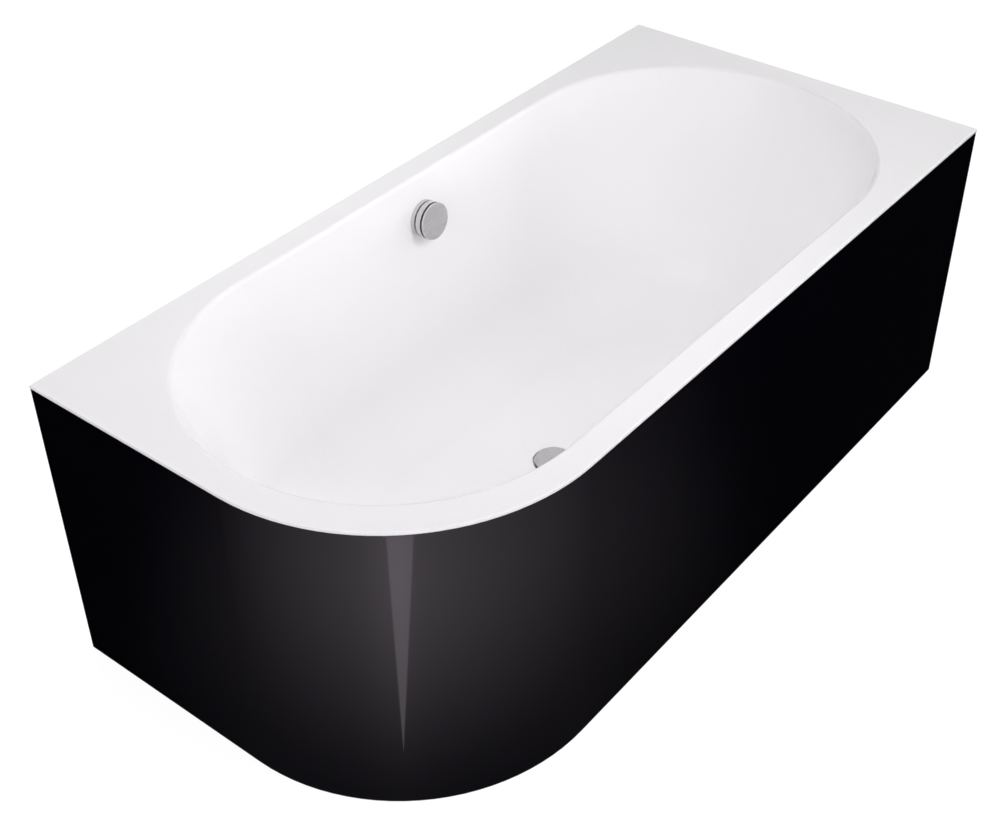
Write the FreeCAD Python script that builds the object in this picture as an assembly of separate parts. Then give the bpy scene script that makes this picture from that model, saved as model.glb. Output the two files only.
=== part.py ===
"""Asymmetric back-to-wall bathtub with a wrap-around apron, in millimetres.

+X runs along the tub to the far end wall, +Y to the back wall and +Z up. The origin lies on the
ground, under the middle of the tub.
"""
import FreeCAD
import Part
import os
from math import asin, cos, degrees, radians, sin, sqrt, tan

V = FreeCAD.Vector
UP = V(0, 0, 1)

# Tub outline and shell
TUB_LENGTH = 1700.0
TUB_WIDTH = 815.0
TUB_HEIGHT = 598.0
CORNER_RADIUS_SHARE = 0.475
CORNER_RADIUS = CORNER_RADIUS_SHARE * TUB_WIDTH
RIM_WIDTH = 53.0
RIM_THICKNESS = 6.0
RIM_EDGE_ROUND = 2.0
RIM_ROLL = 8.0
LIP_HEIGHT = 22.0
LIP_THICKNESS = 6.0
SHELL_THICKNESS = 7.0
FLOOR_Z = 90.0
SIDE_DRAFT = 5.0
END_DRAFT = 20.0
BOTTOM_BLEND = 110.0
BLEND_SECTIONS = 8

# Clearances
FIT_GAP = 0.3
RUN_GAP = 0.05

# Apron panel
PANEL_SETBACK = 1.0
PANEL_THICKNESS = 5.0
PANEL_FLOOR_GAP = 2.0
PANEL_RETURN = 18.0

# Battens under the rim
BATTEN_HEIGHT = 20.0
BATTEN_WALL_GAP = 10.0
BATTEN_COVER = 8.0

# Base board
BOARD_END_INSET = 65.0
BOARD_SIDE_INSET = 35.0
BOARD_THICKNESS = 16.0
BOARD_CORNER = 40.0
BOARD_HOLE_GAP = 20.0
BOARD_COVER = 4.0

# Cross rails and feet
RAIL_INSET = 60.0
RAIL_OVERHANG = 75.0
RAIL_WIDTH = 40.0
RAIL_HEIGHT = 25.0
RAIL_WALL = 2.5
RAIL_SCREW_SPACING = 88.0
FOOT_OUTSET = 60.0
STEM_DIAMETER = 12.0
STEM_RISE = 9.0
STEM_SLOT_GAP = 1.0
NUT_FLATS = 19.0
WELD_NUT_HEIGHT = 10.0
LOCK_NUT_HEIGHT = 6.0
PAD_DIAMETER = 50.0
PAD_HEIGHT = 10.0
PAD_ROUND = 3.0
PAD_BOSS_DIAMETER = 24.0
PAD_BOSS_HEIGHT = 8.0
PAD_FLOOR = 4.0

# Stays and blocks behind the apron
STAY_WIDTH = 25.0
STAY_THICKNESS = 3.0
STAY_OVERLAP = 60.0
STAY_TAB = 40.0
STAY_BOLT_SPACING = 30.0
STAY_BOLT_INSET = 15.0
STAY_SCREW_SPACING = 15.0
END_STAY_OFFSET = 78.0
END_STAY_OVERLAP = 36.0
BLOCK_LENGTH = 80.0
BLOCK_DEPTH = 30.0
BLOCK_HEIGHT = 60.0
BLOCK_COVER = 18.0
BOLT_DIAMETER = 6.0
BOLT_FLATS = 10.0
BOLT_HEAD = 4.0
BOLT_NUT = 5.0
BOLT_STICK_OUT = 2.0

# Wood screws
SCREW_DIAMETER = 4.0
SCREW_HEAD_DIAMETER = 8.0
SCREW_HEAD = 3.0

# Wall brackets
BRACKET_WIDTH = 40.0
BRACKET_THICKNESS = 3.0
BRACKET_REACH = 34.0
BRACKET_DROP = 58.0
BRACKET_HOLE = 7.0
BRACKET_HOLE_RISE = 20.0
BRACKET_SCREW_SPACING = 22.0
BRACKET_SCREW_INSET = 21.0
BACK_BRACKET_SPACING = 1000.0
END_BRACKET_SPACING = 400.0

# Waste in the basin floor
RECESS_DIAMETER = 86.0
RECESS_DEPTH = 6.0
WASTE_HOLE = 54.0
FLANGE_SEAL_DIAMETER = 80.0
FLANGE_SEAL_THICKNESS = 1.5
FLANGE_DIAMETER = 82.0
FLANGE_THICKNESS = 2.0
COLLAR_DIAMETER = 50.0
COLLAR_BORE = 44.0
COLLAR_LENGTH = 32.0
SPIDER_DROP = 18.0
SPIDER_HEIGHT = 4.0
SPIDER_BAR = 4.0
GUIDE_DIAMETER = 14.0
PLUG_CAP_DIAMETER = 78.0
PLUG_CAP_THICKNESS = 4.0
PLUG_CAP_ROUND = 1.2
PLUG_SEAL_DIAMETER = 60.0
PLUG_SEAL_THICKNESS = 2.2
PLUG_STEM_DIAMETER = 8.0
PLUG_STEM_SOCKET = 2.0
PLUG_LIFT = 10.0

# Waste body, lifter and trap
BODY_SEAL_THICKNESS = 3.0
BODY_SEAL_DIAMETER = 84.0
BODY_FLANGE_DIAMETER = 86.0
BODY_FLANGE_THICKNESS = 5.0
BODY_DIAMETER = 66.0
BODY_WALL = 4.0
BODY_NECK = 12.0
PIPE_BOARD_GAP = 1.0
PIPE_DIAMETER = 40.0
PIPE_WALL = 3.0
PIPE_NUT_DIAMETER = 48.0
PIPE_NUT_LENGTH = 18.0
STUB_REACH = 62.0
PIPE_BELLY = 2.0
PIVOT_X = 18.0
PIVOT_PIN_DIAMETER = 4.0
PIVOT_PIN_INSET = 1.5
LEVER_ARM = 18.0
LEVER_TAIL = 12.0
LEVER_WIDTH = 6.0
LEVER_THICKNESS = 4.0
LEVER_HUB_DIAMETER = 9.0
LEVER_TIP_DIAMETER = 6.0
LEVER_TAIL_DIAMETER = 5.0
BOWL_X = -120.0
BOWL_DIAMETER = 84.0
BOWL_WALL = 3.5
BOWL_LOW = 10.0
BOWL_TOP_GAP = 3.0
BOWL_MOUTH = 60.0
TRAP_CAP_DIAMETER = 76.0
TRAP_CAP_THICKNESS = 4.0
TRAP_CAP_PLUG = 8.0
TRAP_CAP_WALL = 4.0
OUTLET_COLLAR_Y = 175.0
OUTLET_COLLAR_LENGTH = 5.0
OUTLET_COLLAR_DIAMETER = 46.0
OUTLET_SPIGOT_LENGTH = 60.0

# Overflow on the back wall
OVERFLOW_X = 31.0
OVERFLOW_DROP = 91.0
OVERFLOW_HOLE = 54.0
BASE_RING_DIAMETER = 74.0
BASE_RING_HEIGHT = 8.4
BASE_RECESS = 4.0
TRIM_ROUND = 1.0
SLEEVE_DIAMETER = 50.0
SLEEVE_BORE = 42.0
SLEEVE_REACH = 22.0
NECK_STEP = 10.0
NECK_HEIGHT = 3.4
NECK_BORE = 36.0
NECK_SPIGOT = 5.0
BAND_HEIGHT = 11.3
BAND_WALL = 2.0
BAND_WEB = 3.0
POST_COUNT = 6
POST_WIDTH = 5.0
KNOB_GAP = 4.3
KNOB_THICKNESS = 3.6
KNOB_BOSS_DIAMETER = 22.0
KNOB_BOSS_GAP = 0.5
SPINDLE_DIAMETER = 10.0
SPINDLE_TIP_DIAMETER = 8.0
SPINDLE_TIP = 5.0
OVERFLOW_SEAL_THICKNESS = 4.0
OVERFLOW_FLANGE_DIAMETER = 80.0
OVERFLOW_FLANGE_THICKNESS = 5.0
CUP_DIAMETER = 62.0
CUP_WALL = 3.0
CUP_LENGTH = 28.0
CUP_NECK = 8.0
DRUM_DIAMETER = 44.0
DRUM_GROOVE_DIAMETER = 38.0
DRUM_GROOVE_WIDTH = 3.0
DRUM_HEIGHT = 8.0
DRUM_BACK_GAP = 3.0

# Overflow hose
HOSE_DIAMETER = 32.0
HOSE_VALLEY_DIAMETER = 28.0
HOSE_BORE = 25.0
HOSE_CUFF = 14.0
HOSE_RIB_PITCH = 8.0
RIB_VALLEY_SHARE = 0.3
RIB_RISE_SHARE = 0.5
RIB_CREST_SHARE = 0.8
HOSE_SPIGOT_BORE = 26.0
HOSE_SPIGOT_END = 62.0
HOSE_NUT_DIAMETER = 44.0
HOSE_NUT_LENGTH = 20.0
BEND_SHARE = 0.45

# Pull cable between the knob and the lifter
SHEATH_DIAMETER = 5.0
SHEATH_BORE = 2.6
CABLE_DIAMETER = 1.6
PORT_DIAMETER = 9.0
PORT_REACH = 13.0
SHEATH_INSERT = 13.0
CABLE_RUN_OUT = 56.0
CABLE_TURN_X = 108.0
CABLE_TURN_Y = 40.0
CABLE_APPROACH = 34.0
DRUM_CABLE_END = 4.0


def basin_reach(rim_reach, draft, floor, height):
    """How far a basin wall stands from the middle at a height: a straight draft, then a bend."""
    slope = radians(draft)
    if height >= floor + BOTTOM_BLEND:
        return rim_reach - (TUB_HEIGHT - height) * tan(slope)
    radius = BOTTOM_BLEND / (1 - sin(slope))
    centre = rim_reach - (TUB_HEIGHT - floor - radius) * tan(slope) - radius / cos(slope)
    return centre + sqrt(max(0, radius ** 2 - (radius - height + floor) ** 2))


# Sizes that follow from the ones above
HALF_LENGTH = TUB_LENGTH / 2
HALF_WIDTH = TUB_WIDTH / 2
BASIN_END = HALF_LENGTH - RIM_WIDTH
BASIN_SIDE = HALF_WIDTH - RIM_WIDTH
RIM_UNDER_Z = TUB_HEIGHT - RIM_THICKNESS
SHELL_UNDER_Z = FLOOR_Z - SHELL_THICKNESS
PANEL_INNER = PANEL_SETBACK + PANEL_THICKNESS
BATTEN_WIDTH = RIM_WIDTH - max(LIP_THICKNESS, PANEL_INNER) - SHELL_THICKNESS - BATTEN_WALL_GAP
BATTEN_UNDER_Z = RIM_UNDER_Z - BATTEN_HEIGHT
BOARD_UNDER_Z = SHELL_UNDER_Z - BOARD_THICKNESS
BOARD_END = basin_reach(BASIN_END, END_DRAFT, FLOOR_Z, FLOOR_Z) - BOARD_END_INSET
BOARD_SIDE = basin_reach(BASIN_SIDE, SIDE_DRAFT, FLOOR_Z, FLOOR_Z) - BOARD_SIDE_INSET
BOARD_HOLE = RECESS_DIAMETER + 2 * SHELL_THICKNESS + 2 * BOARD_HOLE_GAP
BOARD_BITE = BOARD_THICKNESS - BOARD_COVER
RAIL_UNDER_Z = BOARD_UNDER_Z - RAIL_HEIGHT
WEB_UNDER_Z = BOARD_UNDER_Z - RAIL_WALL
FEET_Y = (-BOARD_SIDE - FOOT_OUTSET, BOARD_SIDE + FOOT_OUTSET)
RAIL_FRONT = FEET_Y[0] - RAIL_OVERHANG
STAY_BOLTS_Y = [RAIL_FRONT + STAY_BOLT_INSET + k * STAY_BOLT_SPACING for k in range(2)]
RAILS_X = (RAIL_INSET - BOARD_END, BOARD_END - RAIL_INSET)
FEET_XY = [(x, y) for x in RAILS_X for y in FEET_Y]
END_STAY_Y = CORNER_RADIUS - HALF_WIDTH + END_STAY_OFFSET
SCREW_HOLE = SCREW_DIAMETER + 2 * FIT_GAP
BRACKET_SCREW = BRACKET_THICKNESS + BATTEN_HEIGHT - BATTEN_COVER
BLOCK_SCREW = STAY_THICKNESS + BLOCK_DEPTH - BLOCK_COVER
RAIL_SCREW = RAIL_WALL + BOARD_BITE
END_STAY_SCREW = STAY_THICKNESS + BOARD_BITE

# Heights of the waste, from the basin floor down
RECESS_Z = FLOOR_Z - RECESS_DEPTH
BOSS_UNDER_Z = SHELL_UNDER_Z - RECESS_DEPTH
FLANGE_LOW_Z = RECESS_Z + FLANGE_SEAL_THICKNESS
FLANGE_TOP_Z = FLANGE_LOW_Z + FLANGE_THICKNESS
PLUG_SEAL_Z = FLANGE_TOP_Z + FIT_GAP
PLUG_CAP_Z = PLUG_SEAL_Z + PLUG_SEAL_THICKNESS
BODY_TOP_Z = BOSS_UNDER_Z - BODY_SEAL_THICKNESS
PIPE_Z = BOARD_UNDER_Z - PIPE_BOARD_GAP - PIPE_NUT_DIAMETER / 2
BODY_LOW_Z = PIPE_Z - PIPE_DIAMETER / 2 - PIPE_BELLY
BODY_BORE = BODY_DIAMETER - 2 * BODY_WALL
PIPE_BORE = PIPE_DIAMETER - 2 * PIPE_WALL
LEVER_REST = degrees(asin(PLUG_LIFT / 2 / LEVER_ARM))
LEVER_TIP_Z = PIPE_Z - PLUG_LIFT / 2
STEM_LOW_Z = LEVER_TIP_Z + LEVER_TIP_DIAMETER / 2 + FIT_GAP
CABLE_Z = PIPE_Z - LEVER_TAIL * cos(radians(LEVER_REST))
CABLE_END_X = PIVOT_X + LEVER_TAIL * sin(radians(LEVER_REST)) + LEVER_TAIL_DIAMETER / 2 + FIT_GAP

# Stations of the overflow along its axis, which points out of the wall into the basin
NECK_DIAMETER = BASE_RING_DIAMETER - 2 * NECK_STEP
BAND_BORE = BASE_RING_DIAMETER - 2 * BAND_WALL
RECESS_FLOOR = BASE_RING_HEIGHT - BASE_RECESS
BAND_LOW = BASE_RING_HEIGHT + NECK_HEIGHT
BAND_TOP = BAND_LOW + BAND_HEIGHT
KNOB_LOW = BAND_TOP + KNOB_GAP
KNOB_BOSS_LOW = BAND_TOP + KNOB_BOSS_GAP
SEAL_BACK = -SHELL_THICKNESS - OVERFLOW_SEAL_THICKNESS
FLANGE_BACK = SEAL_BACK - OVERFLOW_FLANGE_THICKNESS
CUP_BACK = FLANGE_BACK - CUP_LENGTH
CUP_FLOOR = CUP_BACK + CUP_WALL
CUP_BORE = CUP_DIAMETER - 2 * CUP_WALL
DRUM_LOW = CUP_FLOOR + DRUM_BACK_GAP
DRUM_MIDDLE = DRUM_LOW + DRUM_HEIGHT / 2
HOSE_AXIS = (FLANGE_BACK + CUP_BACK) / 2
CABLE_DROP = DRUM_GROOVE_DIAMETER / 2 + CABLE_DIAMETER / 2 + FIT_GAP


def disc(diameter, low, high, x=0.0, y=0.0):
    """An upright cylinder between two heights."""
    return Part.makeCylinder(diameter / 2, high - low, V(x, y, low))


def ring(outer, inner, low, high, x=0.0, y=0.0):
    """An upright ring between two heights."""
    return disc(outer, low, high, x, y).cut(disc(inner, low, high, x, y))


def block(x0, x1, y0, y1, z0, z1):
    """A box between two corners."""
    return Part.makeBox(x1 - x0, y1 - y0, z1 - z0, V(x0, y0, z0))


def rod(diameter, start, end):
    """A cylinder between two points."""
    return Part.makeCylinder(diameter / 2, (end - start).Length, start, end - start)


def tube(outer, inner, start, end):
    """A hollow cylinder between two points."""
    return rod(outer, start, end).cut(rod(inner, start, end))


def hex_nut(flats, bore, low, high, x, y):
    """A six-sided nut with a plain bore."""
    radius = flats / sqrt(3)
    turns = [radians(360 * k / 6) for k in range(7)]
    corners = [V(x + radius * cos(turn), y + radius * sin(turn), low) for turn in turns]
    solid = Part.Face(Part.makePolygon(corners)).extrude(V(0, 0, high - low))
    return solid.cut(disc(bore, low, high, x, y)) if bore else solid


def fuse(shapes):
    """One solid from several that touch or overlap."""
    return shapes[0].multiFuse(shapes[1:]).removeSplitter()


def group(shapes):
    """Separate solids that share a node."""
    return Part.makeCompound(shapes)


def round_top(solid, radius):
    """Round the outer circle at the top of a turned piece."""
    top = solid.BoundBox.ZMax
    circles = [edge for edge in solid.Edges if abs(edge.BoundBox.ZMin - top) < FIT_GAP]
    outer = max(circles, key=lambda edge: edge.BoundBox.XLength)
    return solid.makeFillet(radius, [outer])


def wood_screw(seat, direction, length):
    """A pan-head screw whose head bears on the seat and whose shank runs along the direction."""
    head = rod(SCREW_HEAD_DIAMETER, seat - direction * SCREW_HEAD, seat)
    return fuse([head, rod(SCREW_DIAMETER, seat, seat + direction * length)])


def screw_hole(seat, direction, length):
    """The hole that a wood screw leaves."""
    return rod(SCREW_HOLE, seat, seat + direction * (length + FIT_GAP))


def outline(inset):
    """The plan outline, inset on the two free sides and flush on the two wall sides."""
    left = inset - HALF_LENGTH
    front = inset - HALF_WIDTH
    radius = CORNER_RADIUS - inset
    centre = V(left + radius, front + radius, 0)
    middle = centre - V(1, 1, 0) * (radius * cos(radians(45)))
    corner = Part.Arc(V(left, centre.y, 0), middle, V(centre.x, front, 0)).toShape()
    points = [
        V(centre.x, front, 0),
        V(HALF_LENGTH, front, 0),
        V(HALF_LENGTH, HALF_WIDTH, 0),
        V(left, HALF_WIDTH, 0),
        V(left, centre.y, 0),
    ]
    lines = [Part.makeLine(a, b) for a, b in zip(points, points[1:])]
    return Part.Wire([corner] + lines)


def slab(inset, low, high):
    """The plan outline as a plate."""
    plate = Part.Face(outline(inset)).extrude(V(0, 0, high - low))
    plate.translate(V(0, 0, low))
    return plate


def free_band(outer_inset, inner_inset, low, high):
    """A strip that follows the near end, the round corner and the front."""
    return slab(outer_inset, low, high).cut(slab(inner_inset, low, high))


def stadium(half_length, half_width, height):
    """A level section of the basin: two straight sides and two round ends."""
    straight = half_length - half_width
    diagonal = half_width * cos(radians(45))
    right = [
        V(straight, -half_width, height),
        V(straight + diagonal, -diagonal, height),
        V(half_length, 0, height),
        V(straight + diagonal, diagonal, height),
        V(straight, half_width, height),
    ]
    left = [V(-p.x, -p.y, height) for p in right]
    edges = []
    for side, other in ((right, left), (left, right)):
        edges.append(Part.Arc(side[0], side[1], side[2]).toShape())
        edges.append(Part.Arc(side[2], side[3], side[4]).toShape())
        edges.append(Part.makeLine(side[4], other[0]))
    return Part.Wire(edges)


def basin(offset):
    """The basin as a solid, grown by an offset to give the shell's outer face."""
    floor = FLOOR_Z - offset
    end = BASIN_END + offset / cos(radians(END_DRAFT))
    side = BASIN_SIDE + offset / cos(radians(SIDE_DRAFT))

    def section(height):
        half_length = basin_reach(end, END_DRAFT, floor, height)
        return stadium(half_length, basin_reach(side, SIDE_DRAFT, floor, height), height)

    turns = [radians(90 * k / BLEND_SECTIONS) for k in range(BLEND_SECTIONS + 1)]
    heights = [floor + BOTTOM_BLEND * (1 - sin(turn)) for turn in turns]
    walls = Part.makeLoft([section(TUB_HEIGHT), section(heights[0])], True, True)
    bottom = Part.makeLoft([section(height) for height in heights], True, False)
    return walls.fuse(bottom)


OVERFLOW_Z = TUB_HEIGHT - OVERFLOW_DROP
OVERFLOW_Y = basin_reach(BASIN_SIDE, SIDE_DRAFT, FLOOR_Z, OVERFLOW_Z)
WALL = FreeCAD.Placement(
    V(OVERFLOW_X, OVERFLOW_Y, OVERFLOW_Z), FreeCAD.Rotation(V(1, 0, 0), 90 - SIDE_DRAFT))


def on_wall(shape):
    """Move a piece from the overflow's own axes to the tub's."""
    placed = shape.copy()
    placed.Placement = WALL.multiply(placed.Placement)
    return placed


def wall_point(x, y, z):
    """A point of the overflow's own axes in the tub's."""
    return WALL.multVec(V(x, y, z))


HOSE_TOP = wall_point(0, -HOSE_SPIGOT_END, HOSE_AXIS)
HOSE_DOWN = WALL.Rotation.multVec(V(0, -1, 0))
HOSE_CORNER = HOSE_TOP + HOSE_DOWN * ((HOSE_TOP.z - PIPE_Z) / -HOSE_DOWN.z)
HOSE_AWAY = V(HOSE_CORNER.x, HOSE_CORNER.y, 0).normalize()
BODY_AXIS = V(0, 0, PIPE_Z)
HOSE_END = BODY_AXIS + HOSE_AWAY * STUB_REACH


def route(points):
    """A path of straight runs with tangent arcs at its corners."""
    edges = []
    start = points[0]
    for before, corner, after in zip(points, points[1:], points[2:]):
        back = (before - corner).normalize()
        ahead = (after - corner).normalize()
        half = back.getAngle(ahead) / 2
        cut = BEND_SHARE * min((before - corner).Length, (after - corner).Length)
        bisector = (back + ahead).normalize()
        radius = cut * tan(half)
        middle = corner + bisector * (cut / cos(half) - radius)
        first = corner + back * cut
        last = corner + ahead * cut
        edges.append(Part.makeLine(start, first))
        edges.append(Part.Arc(first, middle, last).toShape())
        start = last
    edges.append(Part.makeLine(start, points[-1]))
    return Part.Wire(edges)


def sweep(path, diameter):
    """A round bar along a path."""
    first = path.Edges[0]
    profile = Part.makeCircle(diameter / 2, first.valueAt(first.FirstParameter),
                              first.tangentAt(first.FirstParameter))
    return path.makePipeShell([Part.Wire([profile])], True, True)


def circle_along(path, steady, distance, diameter):
    """A circle across a path, at a distance from its start."""
    for edge in path.Edges:
        if distance <= edge.Length + RUN_GAP:
            break
        distance -= edge.Length
    place = edge.getParameterByLength(min(distance, edge.Length))
    along = edge.tangentAt(place)
    turn = FreeCAD.Rotation(steady, along.cross(steady), along, "ZXY")
    circle = Part.makeCircle(diameter / 2)
    circle.Placement = FreeCAD.Placement(edge.valueAt(place), turn)
    return Part.Wire([circle])


def tub_shell():
    """The moulded shell: rim, lips on the wall sides, basin, waste recess and two holes."""
    lip_low = TUB_HEIGHT - LIP_HEIGHT
    clear = PANEL_INNER + FIT_GAP
    back_lip = block(clear - HALF_LENGTH, HALF_LENGTH, HALF_WIDTH - LIP_THICKNESS, HALF_WIDTH,
                     lip_low, RIM_UNDER_Z)
    end_lip = block(HALF_LENGTH - LIP_THICKNESS, HALF_LENGTH, clear - HALF_WIDTH, HALF_WIDTH,
                    lip_low, RIM_UNDER_Z)
    boss = disc(RECESS_DIAMETER + 2 * SHELL_THICKNESS, BOSS_UNDER_Z, RECESS_Z)
    body = slab(0, RIM_UNDER_Z, TUB_HEIGHT).multiFuse([back_lip, end_lip, basin(SHELL_THICKNESS), boss])
    body = body.cut(basin(0))
    body = body.cut(disc(RECESS_DIAMETER, RECESS_Z, FLOOR_Z))
    body = body.cut(disc(WASTE_HOLE, BOSS_UNDER_Z, RECESS_Z))
    body = body.cut(on_wall(disc(OVERFLOW_HOLE, SEAL_BACK, SHELL_THICKNESS)))
    body = body.removeSplitter()
    top = [edge for edge in body.Edges if edge.BoundBox.ZMin > TUB_HEIGHT - RUN_GAP]
    reach = BASIN_SIDE + RIM_WIDTH / 2
    length_reach = BASIN_END + RIM_WIDTH / 2
    inner = []
    outer = []
    for edge in top:
        box = edge.BoundBox
        wide = max(abs(box.YMin), abs(box.YMax)) > reach
        long = max(abs(box.XMin), abs(box.XMax)) > length_reach
        (outer if wide or long else inner).append(edge)
    return body.makeFillet(RIM_ROLL, inner).makeFillet(RIM_EDGE_ROUND, outer)


def apron_panel():
    """The gloss panel round the two free sides, with a stiffening return at its foot."""
    skin = free_band(PANEL_SETBACK, PANEL_INNER, PANEL_FLOOR_GAP, RIM_UNDER_Z)
    foot = free_band(PANEL_SETBACK, PANEL_INNER + PANEL_RETURN, PANEL_FLOOR_GAP,
                     PANEL_FLOOR_GAP + PANEL_THICKNESS)
    return fuse([skin, foot])


def battens():
    """Five timber strips bonded under the rim."""
    wall_x = HALF_LENGTH - LIP_THICKNESS
    wall_y = HALF_WIDTH - LIP_THICKNESS
    free_x = PANEL_INNER - HALF_LENGTH
    free_y = PANEL_INNER - HALF_WIDTH
    corner_x = CORNER_RADIUS - HALF_LENGTH
    corner_y = CORNER_RADIUS - HALF_WIDTH
    z = (BATTEN_UNDER_Z, RIM_UNDER_Z)
    bend = CORNER_RADIUS - PANEL_INNER - FIT_GAP
    curve = ring(2 * bend, 2 * bend - 2 * BATTEN_WIDTH, *z, corner_x, corner_y)
    quarter = block(corner_x - CORNER_RADIUS, corner_x, corner_y - CORNER_RADIUS, corner_y, *z)
    return {
        "batten_back": block(free_x, wall_x, wall_y - BATTEN_WIDTH, wall_y, *z),
        "batten_far_end": block(wall_x - BATTEN_WIDTH, wall_x, free_y + BATTEN_WIDTH,
                                wall_y - BATTEN_WIDTH, *z),
        "batten_front": block(corner_x, wall_x, free_y, free_y + BATTEN_WIDTH, *z),
        "batten_near_end": block(free_x, free_x + BATTEN_WIDTH, corner_y, wall_y - BATTEN_WIDTH, *z),
        "batten_corner": curve.common(quarter),
    }


def base_and_rails():
    """The board bonded under the basin floor, and the rails and feet that carry it."""
    board = block(-BOARD_END, BOARD_END, -BOARD_SIDE, BOARD_SIDE, BOARD_UNDER_Z, SHELL_UNDER_Z)
    uprights = [edge for edge in board.Edges if edge.BoundBox.ZLength > BOARD_THICKNESS / 2]
    board = board.makeFillet(BOARD_CORNER, uprights)
    board = board.cut(disc(BOARD_HOLE, BOARD_UNDER_Z, SHELL_UNDER_Z))
    parts = {}
    screws = []
    for name, x in zip(("cross_rail_near", "cross_rail_far"), RAILS_X):
        side = RAIL_WIDTH / 2
        inner = side - RAIL_WALL
        rail = block(x - side, x + side, RAIL_FRONT, -RAIL_FRONT, RAIL_UNDER_Z, BOARD_UNDER_Z)
        rail = rail.cut(block(x - inner, x + inner, RAIL_FRONT, -RAIL_FRONT, RAIL_UNDER_Z, WEB_UNDER_Z))
        for k in range(4):
            seat = V(x, (k - 3 / 2) * RAIL_SCREW_SPACING, WEB_UNDER_Z)
            screws.append(wood_screw(seat, UP, RAIL_SCREW))
            rail = rail.cut(screw_hole(seat, UP, RAIL_SCREW))
            board = board.cut(screw_hole(seat, UP, RAIL_SCREW))
        for y in FEET_Y:
            slot = STEM_DIAMETER + 2 * STEM_SLOT_GAP
            rail = rail.cut(disc(slot, WEB_UNDER_Z, BOARD_UNDER_Z, x, y))
        for y in STAY_BOLTS_Y:
            rail = rail.cut(disc(BOLT_DIAMETER + 2 * FIT_GAP, WEB_UNDER_Z, BOARD_UNDER_Z, x, y))
        parts[name] = rail
    for seat in end_stay_seats():
        board = board.cut(screw_hole(seat, UP, END_STAY_SCREW))
    parts["base_board"] = board
    parts["rail_screws"] = group(screws)
    weld_low = WEB_UNDER_Z - WELD_NUT_HEIGHT
    bore = STEM_DIAMETER + 2 * FIT_GAP
    parts["weld_nuts"] = group([hex_nut(NUT_FLATS, bore, weld_low, WEB_UNDER_Z, *xy) for xy in FEET_XY])
    lock_low = weld_low - LOCK_NUT_HEIGHT
    parts["lock_nuts"] = group([hex_nut(NUT_FLATS, bore, lock_low, weld_low, *xy) for xy in FEET_XY])
    for number, (x, y) in enumerate(FEET_XY, 1):
        pad = round_top(disc(PAD_DIAMETER, 0, PAD_HEIGHT, x, y), PAD_ROUND)
        pad = fuse([pad, disc(PAD_BOSS_DIAMETER, PAD_FLOOR, PAD_HEIGHT + PAD_BOSS_HEIGHT, x, y)])
        pad = pad.cut(disc(bore, PAD_FLOOR, PAD_HEIGHT + PAD_BOSS_HEIGHT, x, y))
        parts[f"foot_pad_{number}"] = pad
        parts[f"foot_stem_{number}"] = disc(STEM_DIAMETER, PAD_FLOOR, BOARD_UNDER_Z + STEM_RISE, x, y)
    return parts


def end_stay_seats():
    """Where the two screws of the end stay enter the base board."""
    low = BOARD_UNDER_Z - STAY_THICKNESS
    middle = END_STAY_OVERLAP / 2 - BOARD_END
    return [V(middle + side * STAY_SCREW_SPACING / 2, END_STAY_Y, low) for side in (-1, 1)]


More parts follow.
